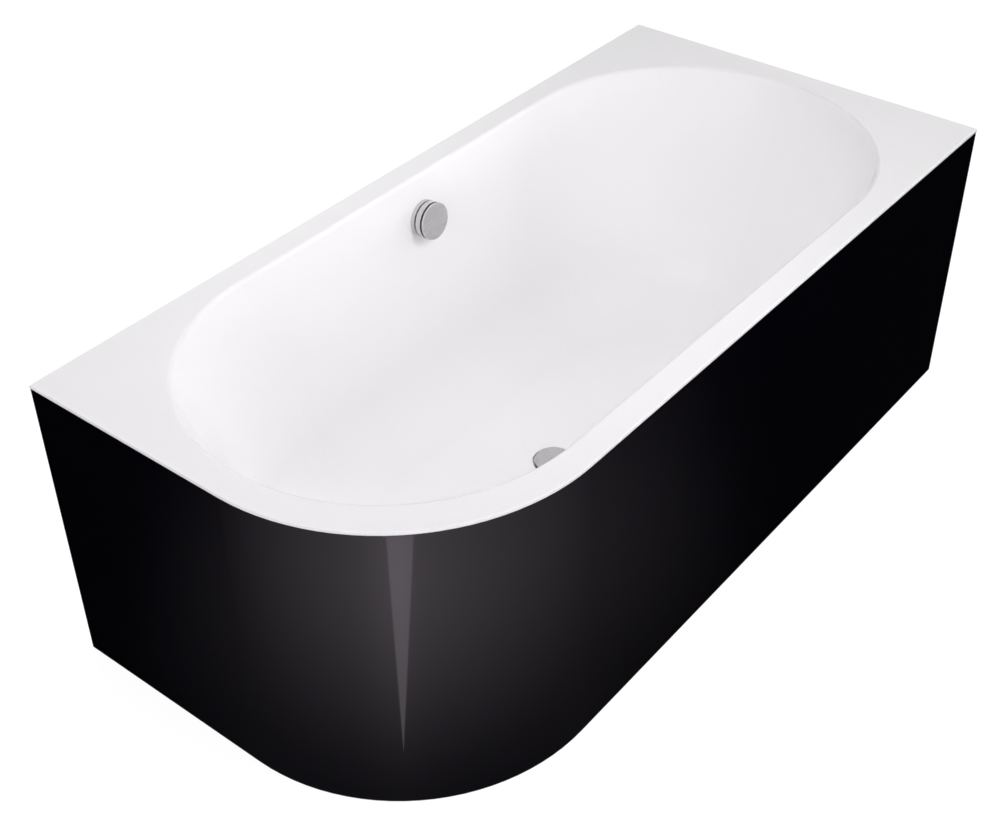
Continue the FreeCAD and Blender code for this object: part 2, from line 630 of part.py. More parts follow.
def stays():
    """Steel stays that hold the foot of the apron, and the timber blocks they screw into."""
    parts = {}
    bolts = []
    nuts = []
    screws = []
    half = STAY_WIDTH / 2
    half_block = BLOCK_LENGTH / 2
    face = PANEL_INNER - HALF_WIDTH
    stay_top = BOARD_UNDER_Z + STAY_THICKNESS
    for name, x in zip(("front_near", "front_far"), RAILS_X):
        inner = face + BLOCK_DEPTH
        flat = block(x - half, x + half, inner, RAIL_FRONT + STAY_OVERLAP, BOARD_UNDER_Z, stay_top)
        tab = block(x - half, x + half, inner, inner + STAY_THICKNESS, BOARD_UNDER_Z,
                    BOARD_UNDER_Z + STAY_TAB)
        stay = fuse([flat, tab])
        low = BOARD_UNDER_Z + STAY_TAB / 2 - BLOCK_HEIGHT / 2
        timber = block(x - half_block, x + half_block, face, inner, low, low + BLOCK_HEIGHT)
        for y in STAY_BOLTS_Y:
            stay = stay.cut(disc(BOLT_DIAMETER + 2 * FIT_GAP, BOARD_UNDER_Z, stay_top, x, y))
            head = hex_nut(BOLT_FLATS, 0, stay_top, stay_top + BOLT_HEAD, x, y)
            end = WEB_UNDER_Z - BOLT_NUT - BOLT_STICK_OUT
            bolts.append(fuse([head, disc(BOLT_DIAMETER, end, stay_top, x, y)]))
            nuts.append(hex_nut(BOLT_FLATS, BOLT_DIAMETER + 2 * FIT_GAP, WEB_UNDER_Z - BOLT_NUT,
                                WEB_UNDER_Z, x, y))
        for k in (1, 2):
            seat = V(x, inner + STAY_THICKNESS, BOARD_UNDER_Z + k * STAY_SCREW_SPACING)
            screws.append(wood_screw(seat, V(0, -1, 0), BLOCK_SCREW))
            stay = stay.cut(screw_hole(seat, V(0, -1, 0), BLOCK_SCREW))
            timber = timber.cut(screw_hole(seat, V(0, -1, 0), BLOCK_SCREW))
        parts[f"stay_{name}"] = stay
        parts[f"panel_block_{name}"] = timber
    face = PANEL_INNER - HALF_LENGTH
    inner = face + BLOCK_DEPTH
    low = BOARD_UNDER_Z - STAY_THICKNESS
    sides = (END_STAY_Y - half, END_STAY_Y + half)
    flat = block(inner, END_STAY_OVERLAP - BOARD_END, *sides, low, BOARD_UNDER_Z)
    stay = fuse([flat, block(inner, inner + STAY_THICKNESS, *sides, low, low + STAY_TAB)])
    block_low = low + STAY_TAB / 2 - BLOCK_HEIGHT / 2
    timber = block(face, inner, END_STAY_Y - half_block, END_STAY_Y + half_block, block_low,
                   block_low + BLOCK_HEIGHT)
    for seat in end_stay_seats():
        screws.append(wood_screw(seat, UP, END_STAY_SCREW))
        stay = stay.cut(screw_hole(seat, UP, END_STAY_SCREW))
    for k in (1, 2):
        seat = V(inner + STAY_THICKNESS, END_STAY_Y, low + k * STAY_SCREW_SPACING)
        screws.append(wood_screw(seat, V(-1, 0, 0), BLOCK_SCREW))
        stay = stay.cut(screw_hole(seat, V(-1, 0, 0), BLOCK_SCREW))
        timber = timber.cut(screw_hole(seat, V(-1, 0, 0), BLOCK_SCREW))
    parts["stay_near_end"] = stay
    parts["panel_block_near_end"] = timber
    parts["stay_bolts"] = group(bolts)
    parts["stay_nuts"] = group(nuts)
    parts["stay_screws"] = group(screws)
    return parts


def wall_brackets(timber):
    """Angle brackets screwed up into the wall-side battens, whose holes are cut here."""
    half = BRACKET_WIDTH / 2
    top = BATTEN_UNDER_Z
    leg = block(-half, half, -BRACKET_REACH, 0, top - BRACKET_THICKNESS, top)
    plate = block(-half, half, -BRACKET_THICKNESS, 0, top - BRACKET_DROP, top)
    angle = fuse([leg, plate])
    hole_z = top - BRACKET_DROP + BRACKET_HOLE_RISE
    angle = angle.cut(rod(BRACKET_HOLE, V(0, -BRACKET_THICKNESS, hole_z), V(0, 0, hole_z)))
    low = top - BRACKET_THICKNESS
    seats = [V(side * BRACKET_SCREW_SPACING / 2, -BRACKET_SCREW_INSET, low) for side in (-1, 1)]
    pilot_holes = [screw_hole(seat, UP, BRACKET_SCREW) for seat in seats]
    angle = angle.cut(group(pilot_holes))
    screws = [wood_screw(seat, UP, BRACKET_SCREW) for seat in seats]
    back = BACK_BRACKET_SPACING / 2
    end = END_BRACKET_SPACING / 2
    places = [
        ("back_near", "batten_back", V(-back, HALF_WIDTH, 0), 0),
        ("back_far", "batten_back", V(back, HALF_WIDTH, 0), 0),
        ("end_front", "batten_far_end", V(HALF_LENGTH, -end, 0), -90),
        ("end_back", "batten_far_end", V(HALF_LENGTH, end, 0), -90),
    ]
    parts = {}
    placed_screws = []
    for name, batten, corner, turn in places:
        spot = FreeCAD.Placement(corner, FreeCAD.Rotation(UP, turn))

        def placed(shape):
            moved = shape.copy()
            moved.Placement = spot.multiply(moved.Placement)
            return moved

        parts[f"wall_bracket_{name}"] = placed(angle)
        placed_screws += [placed(screw) for screw in screws]
        for hole in pilot_holes:
            timber[batten] = timber[batten].cut(placed(hole))
    parts["bracket_screws"] = group(placed_screws)
    return parts


def waste_fitting():
    """The flange in the basin floor and the plug that closes it."""
    flange_seal = ring(FLANGE_SEAL_DIAMETER, WASTE_HOLE, RECESS_Z, FLANGE_LOW_Z)
    collar_low = FLANGE_TOP_Z - COLLAR_LENGTH
    plate = ring(FLANGE_DIAMETER, COLLAR_BORE, FLANGE_LOW_Z, FLANGE_TOP_Z)
    collar = ring(COLLAR_DIAMETER, COLLAR_BORE, collar_low, FLANGE_TOP_Z)
    spider_top = FLANGE_TOP_Z - SPIDER_DROP
    spider_low = spider_top - SPIDER_HEIGHT
    reach = COLLAR_BORE / 2 + (COLLAR_DIAMETER - COLLAR_BORE) / 4
    bar = SPIDER_BAR / 2
    cross = [
        block(-reach, reach, -bar, bar, spider_low, spider_top),
        block(-bar, bar, -reach, reach, spider_low, spider_top),
    ]
    flange = fuse([plate, collar, disc(GUIDE_DIAMETER, spider_low, spider_top)] + cross)
    flange = flange.cut(disc(PLUG_STEM_DIAMETER + 2 * RUN_GAP, spider_low, spider_top))
    cap = round_top(disc(PLUG_CAP_DIAMETER, PLUG_CAP_Z, PLUG_CAP_Z + PLUG_CAP_THICKNESS), PLUG_CAP_ROUND)
    socket_top = PLUG_CAP_Z + PLUG_STEM_SOCKET
    cap = cap.cut(disc(PLUG_STEM_DIAMETER + 2 * FIT_GAP, PLUG_CAP_Z, socket_top))
    return {
        "waste_flange_seal": flange_seal,
        "waste_flange": flange,
        "plug_cap": cap,
        "plug_seal": ring(PLUG_SEAL_DIAMETER, PLUG_STEM_DIAMETER + 2 * FIT_GAP, PLUG_SEAL_Z, PLUG_CAP_Z),
        "plug_stem": disc(PLUG_STEM_DIAMETER, STEM_LOW_Z, socket_top),
    }


def waste_body():
    """The body under the floor: neck, chamber, three stubs, and the lifter inside it."""
    bore = COLLAR_DIAMETER + 2 * FIT_GAP
    neck_low = BODY_TOP_Z - BODY_NECK
    outer = [
        disc(BODY_FLANGE_DIAMETER, BODY_TOP_Z - BODY_FLANGE_THICKNESS, BODY_TOP_Z),
        disc(BODY_DIAMETER, BODY_LOW_Z, BODY_TOP_Z),
        rod(HOSE_DIAMETER, BODY_AXIS, HOSE_END),
        rod(PIPE_DIAMETER, BODY_AXIS, V(-STUB_REACH, 0, PIPE_Z)),
        rod(PORT_DIAMETER, V(0, 0, CABLE_Z), V(BODY_DIAMETER / 2 + PORT_REACH, 0, CABLE_Z)),
    ]
    pin_reach = sqrt((BODY_DIAMETER / 2) ** 2 - PIVOT_X ** 2) - PIVOT_PIN_INSET
    pin_ends = (V(PIVOT_X, -pin_reach, PIPE_Z), V(PIVOT_X, pin_reach, PIPE_Z))
    inner = [
        disc(BODY_BORE, BODY_LOW_Z + BODY_WALL, neck_low),
        disc(bore, BODY_LOW_Z + BODY_WALL, BODY_TOP_Z),
        rod(HOSE_SPIGOT_BORE, BODY_AXIS, HOSE_END),
        rod(PIPE_BORE, BODY_AXIS, V(-STUB_REACH, 0, PIPE_Z)),
        rod(SHEATH_DIAMETER + 2 * FIT_GAP, V(0, 0, CABLE_Z),
            V(BODY_DIAMETER / 2 + PORT_REACH, 0, CABLE_Z)),
        rod(PIVOT_PIN_DIAMETER + 2 * FIT_GAP, *pin_ends),
    ]
    body = fuse(outer)
    for hollow in inner:
        body = body.cut(hollow)
    half = LEVER_WIDTH / 2
    thin = LEVER_THICKNESS / 2

    def across(diameter, x, z, width):
        return rod(diameter, V(x, -width, z), V(x, width, z))

    lever = fuse([
        across(LEVER_HUB_DIAMETER, 0, 0, half),
        block(-LEVER_ARM, 0, -half, half, -thin, thin),
        across(LEVER_TIP_DIAMETER, -LEVER_ARM, 0, half),
        block(-thin, thin, -half, half, -LEVER_TAIL, 0),
        across(LEVER_TAIL_DIAMETER, 0, -LEVER_TAIL, half),
    ])
    lever = lever.cut(across(PIVOT_PIN_DIAMETER + 2 * RUN_GAP, 0, 0, half))
    lever.Placement = FreeCAD.Placement(V(PIVOT_X, 0, PIPE_Z), FreeCAD.Rotation(V(0, 1, 0), -LEVER_REST))
    return {
        "waste_body_seal": ring(BODY_SEAL_DIAMETER, WASTE_HOLE, BODY_TOP_Z, BOSS_UNDER_Z),
        "waste_body": body,
        "lift_lever": lever,
        "lever_pin": rod(PIVOT_PIN_DIAMETER, *pin_ends),
    }


def trap():
    """The bottle trap beside the body, its cleaning cap, and the outlet towards the back wall."""
    top = BOARD_UNDER_Z - BOWL_TOP_GAP
    bowl_bore = BOWL_DIAMETER - 2 * BOWL_WALL
    axis = V(BOWL_X, 0, PIPE_Z)
    inlet_end = V(-STUB_REACH, 0, PIPE_Z)
    outlet_end = V(BOWL_X, STUB_REACH, PIPE_Z)
    bowl = fuse([
        disc(BOWL_DIAMETER, BOWL_LOW, top, BOWL_X),
        rod(PIPE_DIAMETER, axis, inlet_end),
        rod(PIPE_DIAMETER, axis, outlet_end),
    ])
    bowl = bowl.cut(disc(bowl_bore, BOWL_LOW + BOWL_WALL, top - BOWL_WALL, BOWL_X))
    bowl = bowl.cut(disc(BOWL_MOUTH, BOWL_LOW, BOWL_LOW + BOWL_WALL, BOWL_X))
    bowl = bowl.cut(rod(PIPE_BORE, axis, inlet_end)).cut(rod(PIPE_BORE, axis, outlet_end))
    plug = BOWL_MOUTH - 2 * FIT_GAP
    cap_top = BOWL_LOW + TRAP_CAP_PLUG
    cap = fuse([
        disc(TRAP_CAP_DIAMETER, BOWL_LOW - TRAP_CAP_THICKNESS, BOWL_LOW, BOWL_X),
        disc(plug, BOWL_LOW, cap_top, BOWL_X),
    ])
    cap = cap.cut(disc(plug - 2 * TRAP_CAP_WALL, BOWL_LOW, cap_top, BOWL_X))
    half_nut = PIPE_NUT_LENGTH / 2
    nut_bore = PIPE_DIAMETER + 2 * FIT_GAP
    along = V(half_nut, 0, 0)
    across = V(0, half_nut, 0)
    nuts = group([
        tube(PIPE_NUT_DIAMETER, nut_bore, inlet_end - along, inlet_end + along),
        tube(PIPE_NUT_DIAMETER, nut_bore, outlet_end - across, outlet_end + across),
    ])
    collar = V(BOWL_X, OUTLET_COLLAR_Y, PIPE_Z)
    collar_end = collar + V(0, OUTLET_COLLAR_LENGTH, 0)
    spigot_end = collar_end + V(0, OUTLET_SPIGOT_LENGTH, 0)
    flange = rod(OUTLET_COLLAR_DIAMETER, collar, collar_end)
    pipe = fuse([rod(PIPE_DIAMETER, outlet_end, spigot_end), flange])
    pipe = pipe.cut(rod(PIPE_BORE, outlet_end, spigot_end))
    return {"trap_bowl": bowl, "trap_cap": cap, "trap_nuts": nuts, "outlet_pipe": pipe}


def overflow():
    """The overflow on the back wall: trim in the basin, turning knob, and body behind the wall."""
    base = round_top(ring(BASE_RING_DIAMETER, SLEEVE_BORE, 0, BASE_RING_HEIGHT), TRIM_ROUND)
    base = fuse([base, ring(SLEEVE_DIAMETER, SLEEVE_BORE, -SLEEVE_REACH, 0)])
    base = base.cut(ring(BAND_BORE, SLEEVE_BORE, RECESS_FLOOR, BASE_RING_HEIGHT))
    posts = []
    for k in range(POST_COUNT):
        half = POST_WIDTH / 2
        post = block(0, NECK_DIAMETER / 2, -half, half, RECESS_FLOOR, BAND_LOW)
        post.rotate(V(0, 0, 0), UP, 360 * (k + 1 / 2) / POST_COUNT)
        posts.append(post)
    neck = fuse(posts).common(ring(NECK_DIAMETER, NECK_BORE, RECESS_FLOOR, BAND_LOW))
    spigot = SLEEVE_BORE - 2 * FIT_GAP
    band = fuse([
        ring(spigot, NECK_BORE, RECESS_FLOOR - NECK_SPIGOT, RECESS_FLOOR),
        neck,
        ring(BASE_RING_DIAMETER, SPINDLE_DIAMETER + 2 * RUN_GAP, BAND_LOW, BAND_LOW + BAND_WEB),
        ring(BASE_RING_DIAMETER, BAND_BORE, BAND_LOW, BAND_TOP),
    ])
    knob = round_top(disc(BASE_RING_DIAMETER, KNOB_LOW, KNOB_LOW + KNOB_THICKNESS), TRIM_ROUND)
    knob = fuse([knob, disc(KNOB_BOSS_DIAMETER, KNOB_BOSS_LOW, KNOB_LOW)])
    tip = KNOB_BOSS_LOW + SPINDLE_TIP
    knob = knob.cut(disc(SPINDLE_TIP_DIAMETER + 2 * FIT_GAP, KNOB_BOSS_LOW, tip))
    spindle = fuse([
        disc(SPINDLE_DIAMETER, DRUM_LOW, KNOB_BOSS_LOW),
        disc(SPINDLE_TIP_DIAMETER, KNOB_BOSS_LOW, tip),
    ])
    drum = ring(DRUM_DIAMETER, SPINDLE_DIAMETER + 2 * FIT_GAP, DRUM_LOW, DRUM_LOW + DRUM_HEIGHT)
    groove = DRUM_GROOVE_WIDTH / 2
    drum = drum.cut(ring(DRUM_DIAMETER, DRUM_GROOVE_DIAMETER, DRUM_MIDDLE - groove, DRUM_MIDDLE + groove))
    spigot_end = V(0, -HOSE_SPIGOT_END, HOSE_AXIS)
    port = (V(0, -CABLE_DROP, DRUM_MIDDLE), V(CUP_DIAMETER / 2 + PORT_REACH, -CABLE_DROP, DRUM_MIDDLE))
    chamber_top = FLANGE_BACK - CUP_NECK
    body = fuse([
        disc(OVERFLOW_FLANGE_DIAMETER, FLANGE_BACK, SEAL_BACK),
        disc(CUP_DIAMETER, CUP_BACK, FLANGE_BACK),
        rod(HOSE_DIAMETER, V(0, 0, HOSE_AXIS), spigot_end),
        rod(PORT_DIAMETER, *port),
    ])
    body = body.cut(disc(CUP_BORE, CUP_FLOOR, chamber_top))
    body = body.cut(disc(SLEEVE_DIAMETER + 2 * FIT_GAP, chamber_top, SEAL_BACK))
    body = body.cut(rod(HOSE_SPIGOT_BORE, V(0, 0, HOSE_AXIS), spigot_end))
    body = body.cut(rod(SHEATH_DIAMETER + 2 * FIT_GAP, *port))
    seal = ring(OVERFLOW_FLANGE_DIAMETER, OVERFLOW_HOLE, SEAL_BACK, -SHELL_THICKNESS)
    pieces = {
        "overflow_base_ring": base,
        "overflow_inlet_ring": band,
        "knob_cap": knob,
        "knob_spindle": spindle,
        "cable_drum": drum,
        "overflow_body": body,
        "overflow_seal": seal,
    }
    return {name: on_wall(shape) for name, shape in pieces.items()}


def hose():
    """The ribbed hose from the overflow down to the waste body, and its two nuts."""
    path = route([HOSE_TOP, HOSE_CORNER, HOSE_END])
    steady = (HOSE_CORNER - HOSE_TOP).cross(HOSE_END - HOSE_CORNER).normalize()
    stations = [(0, HOSE_DIAMETER), (HOSE_CUFF, HOSE_DIAMETER)]
    ribbed = path.Length - 2 * HOSE_CUFF
    count = round(ribbed / HOSE_RIB_PITCH)
    pitch = ribbed / count
    for k in range(count):
        start = HOSE_CUFF + k * pitch
        stations.append((start + pitch * (1 - RIB_CREST_SHARE), HOSE_VALLEY_DIAMETER))
        stations.append((start + pitch * RIB_RISE_SHARE, HOSE_VALLEY_DIAMETER))
        stations.append((start + pitch * (1 - RIB_VALLEY_SHARE), HOSE_DIAMETER))
        stations.append((start + pitch, HOSE_DIAMETER))
    stations.append((path.Length, HOSE_DIAMETER))
    circles = [circle_along(path, steady, *station) for station in stations]
    outside = Part.makeLoft(circles, True, True)
    ribbed_hose = outside.cut(sweep(path, HOSE_BORE))
    half_nut = HOSE_NUT_LENGTH / 2
    nut_bore = HOSE_DIAMETER + 2 * FIT_GAP
    nuts = group([
        tube(HOSE_NUT_DIAMETER, nut_bore, HOSE_TOP - HOSE_DOWN * half_nut, HOSE_TOP + HOSE_DOWN * half_nut),
        tube(HOSE_NUT_DIAMETER, nut_bore, HOSE_END - HOSE_AWAY * half_nut, HOSE_END + HOSE_AWAY * half_nut),
    ])
    return {"overflow_hose": ribbed_hose, "hose_nuts": nuts}


def cable():
    """The sheathed cable from the knob's drum to the lifter."""
    port_x = CUP_DIAMETER / 2 + PORT_REACH
    start = wall_point(port_x - SHEATH_INSERT, -CABLE_DROP, DRUM_MIDDLE)
    turn = wall_point(port_x + CABLE_RUN_OUT, -CABLE_DROP, DRUM_MIDDLE)
    corner = turn + HOSE_DOWN * ((turn.z - CABLE_Z) / -HOSE_DOWN.z)
    body_port = BODY_DIAMETER / 2 + PORT_REACH
    end = V(body_port - SHEATH_INSERT, 0, CABLE_Z)
    approach = V(body_port + CABLE_APPROACH, 0, CABLE_Z)
    points = [start, turn, corner, V(CABLE_TURN_X, CABLE_TURN_Y, CABLE_Z), approach, end]
    sheath_path = route(points)
    drum_end = wall_point(DRUM_CABLE_END, -CABLE_DROP, DRUM_MIDDLE)
    lever_end = V(CABLE_END_X, 0, CABLE_Z)
    wire_path = Part.Wire([Part.makeLine(drum_end, start)] + sheath_path.Edges
                          + [Part.makeLine(end, lever_end)])
    sheath = sweep(sheath_path, SHEATH_DIAMETER).cut(sweep(sheath_path, SHEATH_BORE))
    return {"cable_sheath": sheath, "cable_wire": sweep(wire_path, CABLE_DIAMETER)}


def main():
    """Build every piece and write one file for each."""
    timber = battens()
    parts = {"tub_shell": tub_shell(), "apron_panel": apron_panel()}
    parts.update(base_and_rails())
    parts.update(stays())
    parts.update(wall_brackets(timber))
    parts.update(timber)
    parts.update(waste_fitting())
    parts.update(waste_body())
    parts.update(trap())
    parts.update(overflow())
    parts.update(hose())
    parts.update(cable())
    os.makedirs("parts", exist_ok=True)
    for name, shape in parts.items():
        shape.exportStep(f"parts/{name}.step")


main()
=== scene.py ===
"""Looks of the asymmetric bathtub: finishes, ribbed hose, threaded feet, studio and camera."""
import logging
import math
from dataclasses import dataclass, field
from enum import Enum
from functools import lru_cache

import bpy
from mathutils import Matrix, Vector


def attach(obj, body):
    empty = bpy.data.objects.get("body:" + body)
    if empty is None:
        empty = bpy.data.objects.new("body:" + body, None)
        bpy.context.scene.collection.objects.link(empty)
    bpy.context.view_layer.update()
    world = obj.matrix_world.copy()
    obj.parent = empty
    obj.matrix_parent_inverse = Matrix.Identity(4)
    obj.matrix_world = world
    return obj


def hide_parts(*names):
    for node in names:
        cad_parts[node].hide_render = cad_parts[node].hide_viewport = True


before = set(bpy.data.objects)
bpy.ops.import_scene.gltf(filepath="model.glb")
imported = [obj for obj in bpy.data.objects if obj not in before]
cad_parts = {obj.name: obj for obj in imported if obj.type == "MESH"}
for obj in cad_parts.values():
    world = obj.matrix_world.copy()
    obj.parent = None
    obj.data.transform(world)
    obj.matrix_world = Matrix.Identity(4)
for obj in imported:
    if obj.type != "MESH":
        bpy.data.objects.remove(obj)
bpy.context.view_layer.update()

Pair = tuple[float, float]
Colour = tuple[float, float, float]
Point = tuple[float, float, float]
log = logging.getLogger("bathtub")

# White, as a colour socket takes it
WHITE = (1.0, 1.0, 1.0, 1.0)

# The strengths at which a pattern counts as weak and as strong
PATTERN_WEAK = 0.3
PATTERN_STRONG = 0.7

# The numbers of a mix node's sockets
MIX_SHARE = 0
MIX_NUMBERS = (2, 3)
MIX_COLOURS = (6, 7)
MIX_COLOUR_OUT = 2


def eased(value: float, low: float, high: float) -> float:
    """Gives a smooth step at that value, from 0 at the low end to 1 at the high end."""
    share = min(max((value - low) / (high - low), 0.0), 1.0)
    return share * share * (3 - 2 * share)


def wave(turns: float) -> float:
    """Gives a wave that is 1 at whole turns and 0 halfway between them."""
    return 0.5 + 0.5 * math.cos(2 * math.pi * turns)


class GrainAxis(Enum):
    """The way a batten's grain runs, as the stretch of the wood pattern along x, y and z."""

    ALONG_TUB = (3.0, 70.0, 70.0)
    ACROSS_TUB = (70.0, 3.0, 70.0)
    ROUND_CORNER = (14.0, 14.0, 90.0)


class LineWay(Enum):
    """The way a metal's fine lines run, as the stretch of their pattern along x, y and z."""

    ROLLED = (20.0, 600.0, 600.0)
    BRUSHED = (30.0, 1500.0, 1500.0)
    TURNED = (60.0, 60.0, 2500.0)
    DRAWN = (900.0, 900.0, 900.0)


class Recipe:
    """A node material in the making, built around its Principled shader."""

    def __init__(self, name: str) -> None:
        """Starts the material.

        Args:
            name: the material's name.
        """
        self.material = bpy.data.materials.new(name)
        self.material.use_nodes = True
        self.tree = self.material.node_tree
        self.shader = self.tree.nodes["Principled BSDF"]

    def feed(self, socket: bpy.types.NodeSocket, value: object) -> None:
        """Links a socket to another node's output, or sets its own value.

        Args:
            socket: the input to fill.
            value: an output socket to link from, or a plain value.
        """
        if isinstance(value, bpy.types.NodeSocket):
            self.tree.links.new(value, socket)
        else:
            socket.default_value = value

    def put(self, kind: str, wires: dict[str | int, object], **options: object) -> bpy.types.Node:
        """Adds one shader node.

        Args:
            kind: the node's type, without its ShaderNode prefix.
            wires: what goes into each input, by its name or number.
            options: the node's own settings.

        Returns:
            The new node.
        """
        node = self.tree.nodes.new(f"ShaderNode{kind}")
        for name, value in options.items():
            setattr(node, name, value)
        for name, value in wires.items():
            self.feed(node.inputs[name], value)
        return node

    def place(self, stretch: Point = (1.0, 1.0, 1.0)) -> bpy.types.NodeSocket:
        """Gives a pattern's coordinates in metres on the piece, stretched along each axis."""
        metres = self.put("TexCoord", {}).outputs["Object"]
        return self.put("Mapping", {"Vector": metres, "Scale": stretch}).outputs["Vector"]

    def noise(self, place: bpy.types.NodeSocket, scale: float, detail: float = 3.0) -> bpy.types.NodeSocket:
        """Gives the strength of a soft cloudy pattern, as fine as its scale and with finer layers in it."""
        return self.put("TexNoise", {"Vector": place, "Scale": scale, "Detail": detail}).outputs["Fac"]

    def cells(self, place: bpy.types.NodeSocket, scale: float) -> bpy.types.Node:
        """Gives a pattern of flakes, as fine as its scale, as its node."""
        return self.put("TexVoronoi", {"Vector": place, "Scale": scale})

    def tone(self, flake: bpy.types.Node) -> bpy.types.NodeSocket:
        """Gives each flake its own strength."""
        return self.put("SeparateColor", {0: flake.outputs["Color"]}).outputs[0]

    def between(self, strength: bpy.types.NodeSocket, low: Colour, high: Colour) -> bpy.types.NodeSocket:
        """Gives a colour that drifts between two with a pattern.

        Args:
            strength: the pattern.
            low: the colour where the pattern is weak.
            high: the colour where it is strong.

        Returns:
            The colour's output socket.
        """
        ramp = self.put("ValToRGB", {"Fac": strength})
        ends = ramp.color_ramp.elements
        ends[0].position = PATTERN_WEAK
        ends[0].color = (*low, 1.0)
        ends[1].position = PATTERN_STRONG
        ends[1].color = (*high, 1.0)
        return ramp.outputs["Color"]

    def span(self, strength: bpy.types.NodeSocket, low: float, high: float) -> bpy.types.NodeSocket:
        """Gives a number that drifts between two with a pattern.

        Args:
            strength: the pattern.
            low: the number where the pattern is weak.
            high: the number where it is strong.

        Returns:
            The number's output socket.
        """
        wires = {"Value": strength, "To Min": low, "To Max": high}
        wires |= {"From Min": PATTERN_WEAK, "From Max": PATTERN_STRONG}
        return self.put("MapRange", wires).outputs["Result"]

    def choose(self, share: bpy.types.NodeSocket, first: object, second: object) -> bpy.types.NodeSocket:
        """Gives the first colour where the mask is 0 and the second where it is 1."""
        wires = {MIX_SHARE: share, MIX_COLOURS[0]: first, MIX_COLOURS[1]: second}
        return self.put("Mix", wires, data_type="RGBA").outputs[MIX_COLOUR_OUT]

    def relief(self, height: bpy.types.NodeSocket, depth: float) -> None:
        """Gives the surface a shallow relief from that pattern, with its depth in metres."""
        bump = self.put("Bump", {"Height": height, "Distance": depth, "Strength": 1.0})
        self.feed(self.shader.inputs["Normal"], bump.outputs["Normal"])

    def set(self, **values: object) -> None:
        """Fills the shader's inputs, their names with _ for each space."""
        for name, value in values.items():
            self.feed(self.shader.inputs[name.replace("_", " ")], value)


@dataclass(frozen=True)
class Finish:
    """A finish of the bathtub, by the name of its material."""

    name: str

    def mix(self) -> bpy.types.Material:
        """Builds the finish's material; each kind of finish has its own."""
        raise NotImplementedError(self.name)


@dataclass(frozen=True)
class GlossAcrylic(Finish):
    """White gloss acrylic, with rough resin and glass strands on its underside."""

    pale: Colour = (0.915, 0.91, 0.915)
    deep: Colour = (0.903, 0.898, 0.903)
    clouds: float = 4.0
    gloss: Pair = (0.17, 0.21)
    gloss_clouds: float = 9.0
    underside: float = -0.03
    resin_pale: Colour = (0.76, 0.73, 0.62)
    resin_deep: Colour = (0.62, 0.58, 0.45)
    resin_roughness: float = 0.65
    strands: Point = (40.0, 160.0, 90.0)
    strand_detail: float = 5.0
    strand_depth: float = 0.0008

    def mix(self) -> bpy.types.Material:
        """Builds the acrylic, with the resin where the surface looks down.

        Returns:
            The material.
        """
        recipe = Recipe(self.name)
        metres = recipe.place()
        facing = recipe.put("SeparateXYZ", {0: recipe.put("NewGeometry", {}).outputs["Normal"]})
        down = {0: facing.outputs["Z"], 1: self.underside}
        resin = recipe.put("Math", down, operation="LESS_THAN").outputs[0]
        strands = recipe.noise(recipe.place(self.strands), 1.0, self.strand_detail)
        white = recipe.between(recipe.noise(metres, self.clouds), self.deep, self.pale)
        cream = recipe.between(strands, self.resin_deep, self.resin_pale)
        recipe.set(Base_Color=recipe.choose(resin, white, cream))
        gloss = recipe.span(recipe.noise(metres, self.gloss_clouds), *self.gloss)
        wires = {MIX_SHARE: resin, MIX_NUMBERS[0]: gloss, MIX_NUMBERS[1]: self.resin_roughness}
        recipe.set(Roughness=recipe.put("Mix", wires).outputs[0])
        coarse = recipe.put("Math", {0: strands, 1: resin}, operation="MULTIPLY").outputs[0]
        recipe.relief(coarse, self.strand_depth)
        return recipe.material


@dataclass(frozen=True)
class BlackGloss(Finish):
    """Deep black gloss acrylic sheet."""

    pale: Colour = (0.0008, 0.0007, 0.0021)
    deep: Colour = (0.0005, 0.0004, 0.0017)
    clouds: float = 5.0
    ior: float = 1.49
    gloss: Pair = (0.05, 0.07)
    haze: float = 30.0
    haze_detail: float = 6.0

    def mix(self) -> bpy.types.Material:
        """Builds the black sheet, with faint polishing haze.

        Returns:
            The material.
        """
        recipe = Recipe(self.name)
        metres = recipe.place()
        cloud = recipe.noise(metres, self.clouds)
        haze = recipe.noise(metres, self.haze, self.haze_detail)
        recipe.set(Base_Color=recipe.between(cloud, self.deep, self.pale), IOR=self.ior)
        recipe.set(Roughness=recipe.span(haze, *self.gloss))
        return recipe.material


@dataclass(frozen=True)
class SawnTimber(Finish):
    """Sawn softwood with its grain along one way."""

    grain: GrainAxis
    pale: Colour = (0.72, 0.55, 0.35)
    deep: Colour = (0.5, 0.33, 0.17)
    rings: Pair = (1.4, 2.0)
    fibres: Pair = (9.0, 6.0)
    fibre_share: float = 0.5
    contrast: float = 0.62
    roughness: Pair = (0.6, 0.8)
    depth: float = 0.0004

    def mix(self) -> bpy.types.Material:
        """Builds the wood from long stretched rings and finer fibres.

        Returns:
            The material.
        """
        recipe = Recipe(self.name)
        along = recipe.place(self.grain.value)
        rings = recipe.noise(along, *self.rings)
        fibres = recipe.noise(along, *self.fibres)
        wires = {0: rings, 1: fibres, 2: self.fibre_share}
        both = recipe.put("Math", wires, operation="MULTIPLY_ADD").outputs[0]
        grain = recipe.put("Math", {0: both, 1: self.contrast}, operation="MULTIPLY").outputs[0]
        recipe.set(Base_Color=recipe.between(grain, self.deep, self.pale))
        recipe.set(Roughness=recipe.span(fibres, *self.roughness))
        recipe.relief(fibres, self.depth)
        return recipe.material


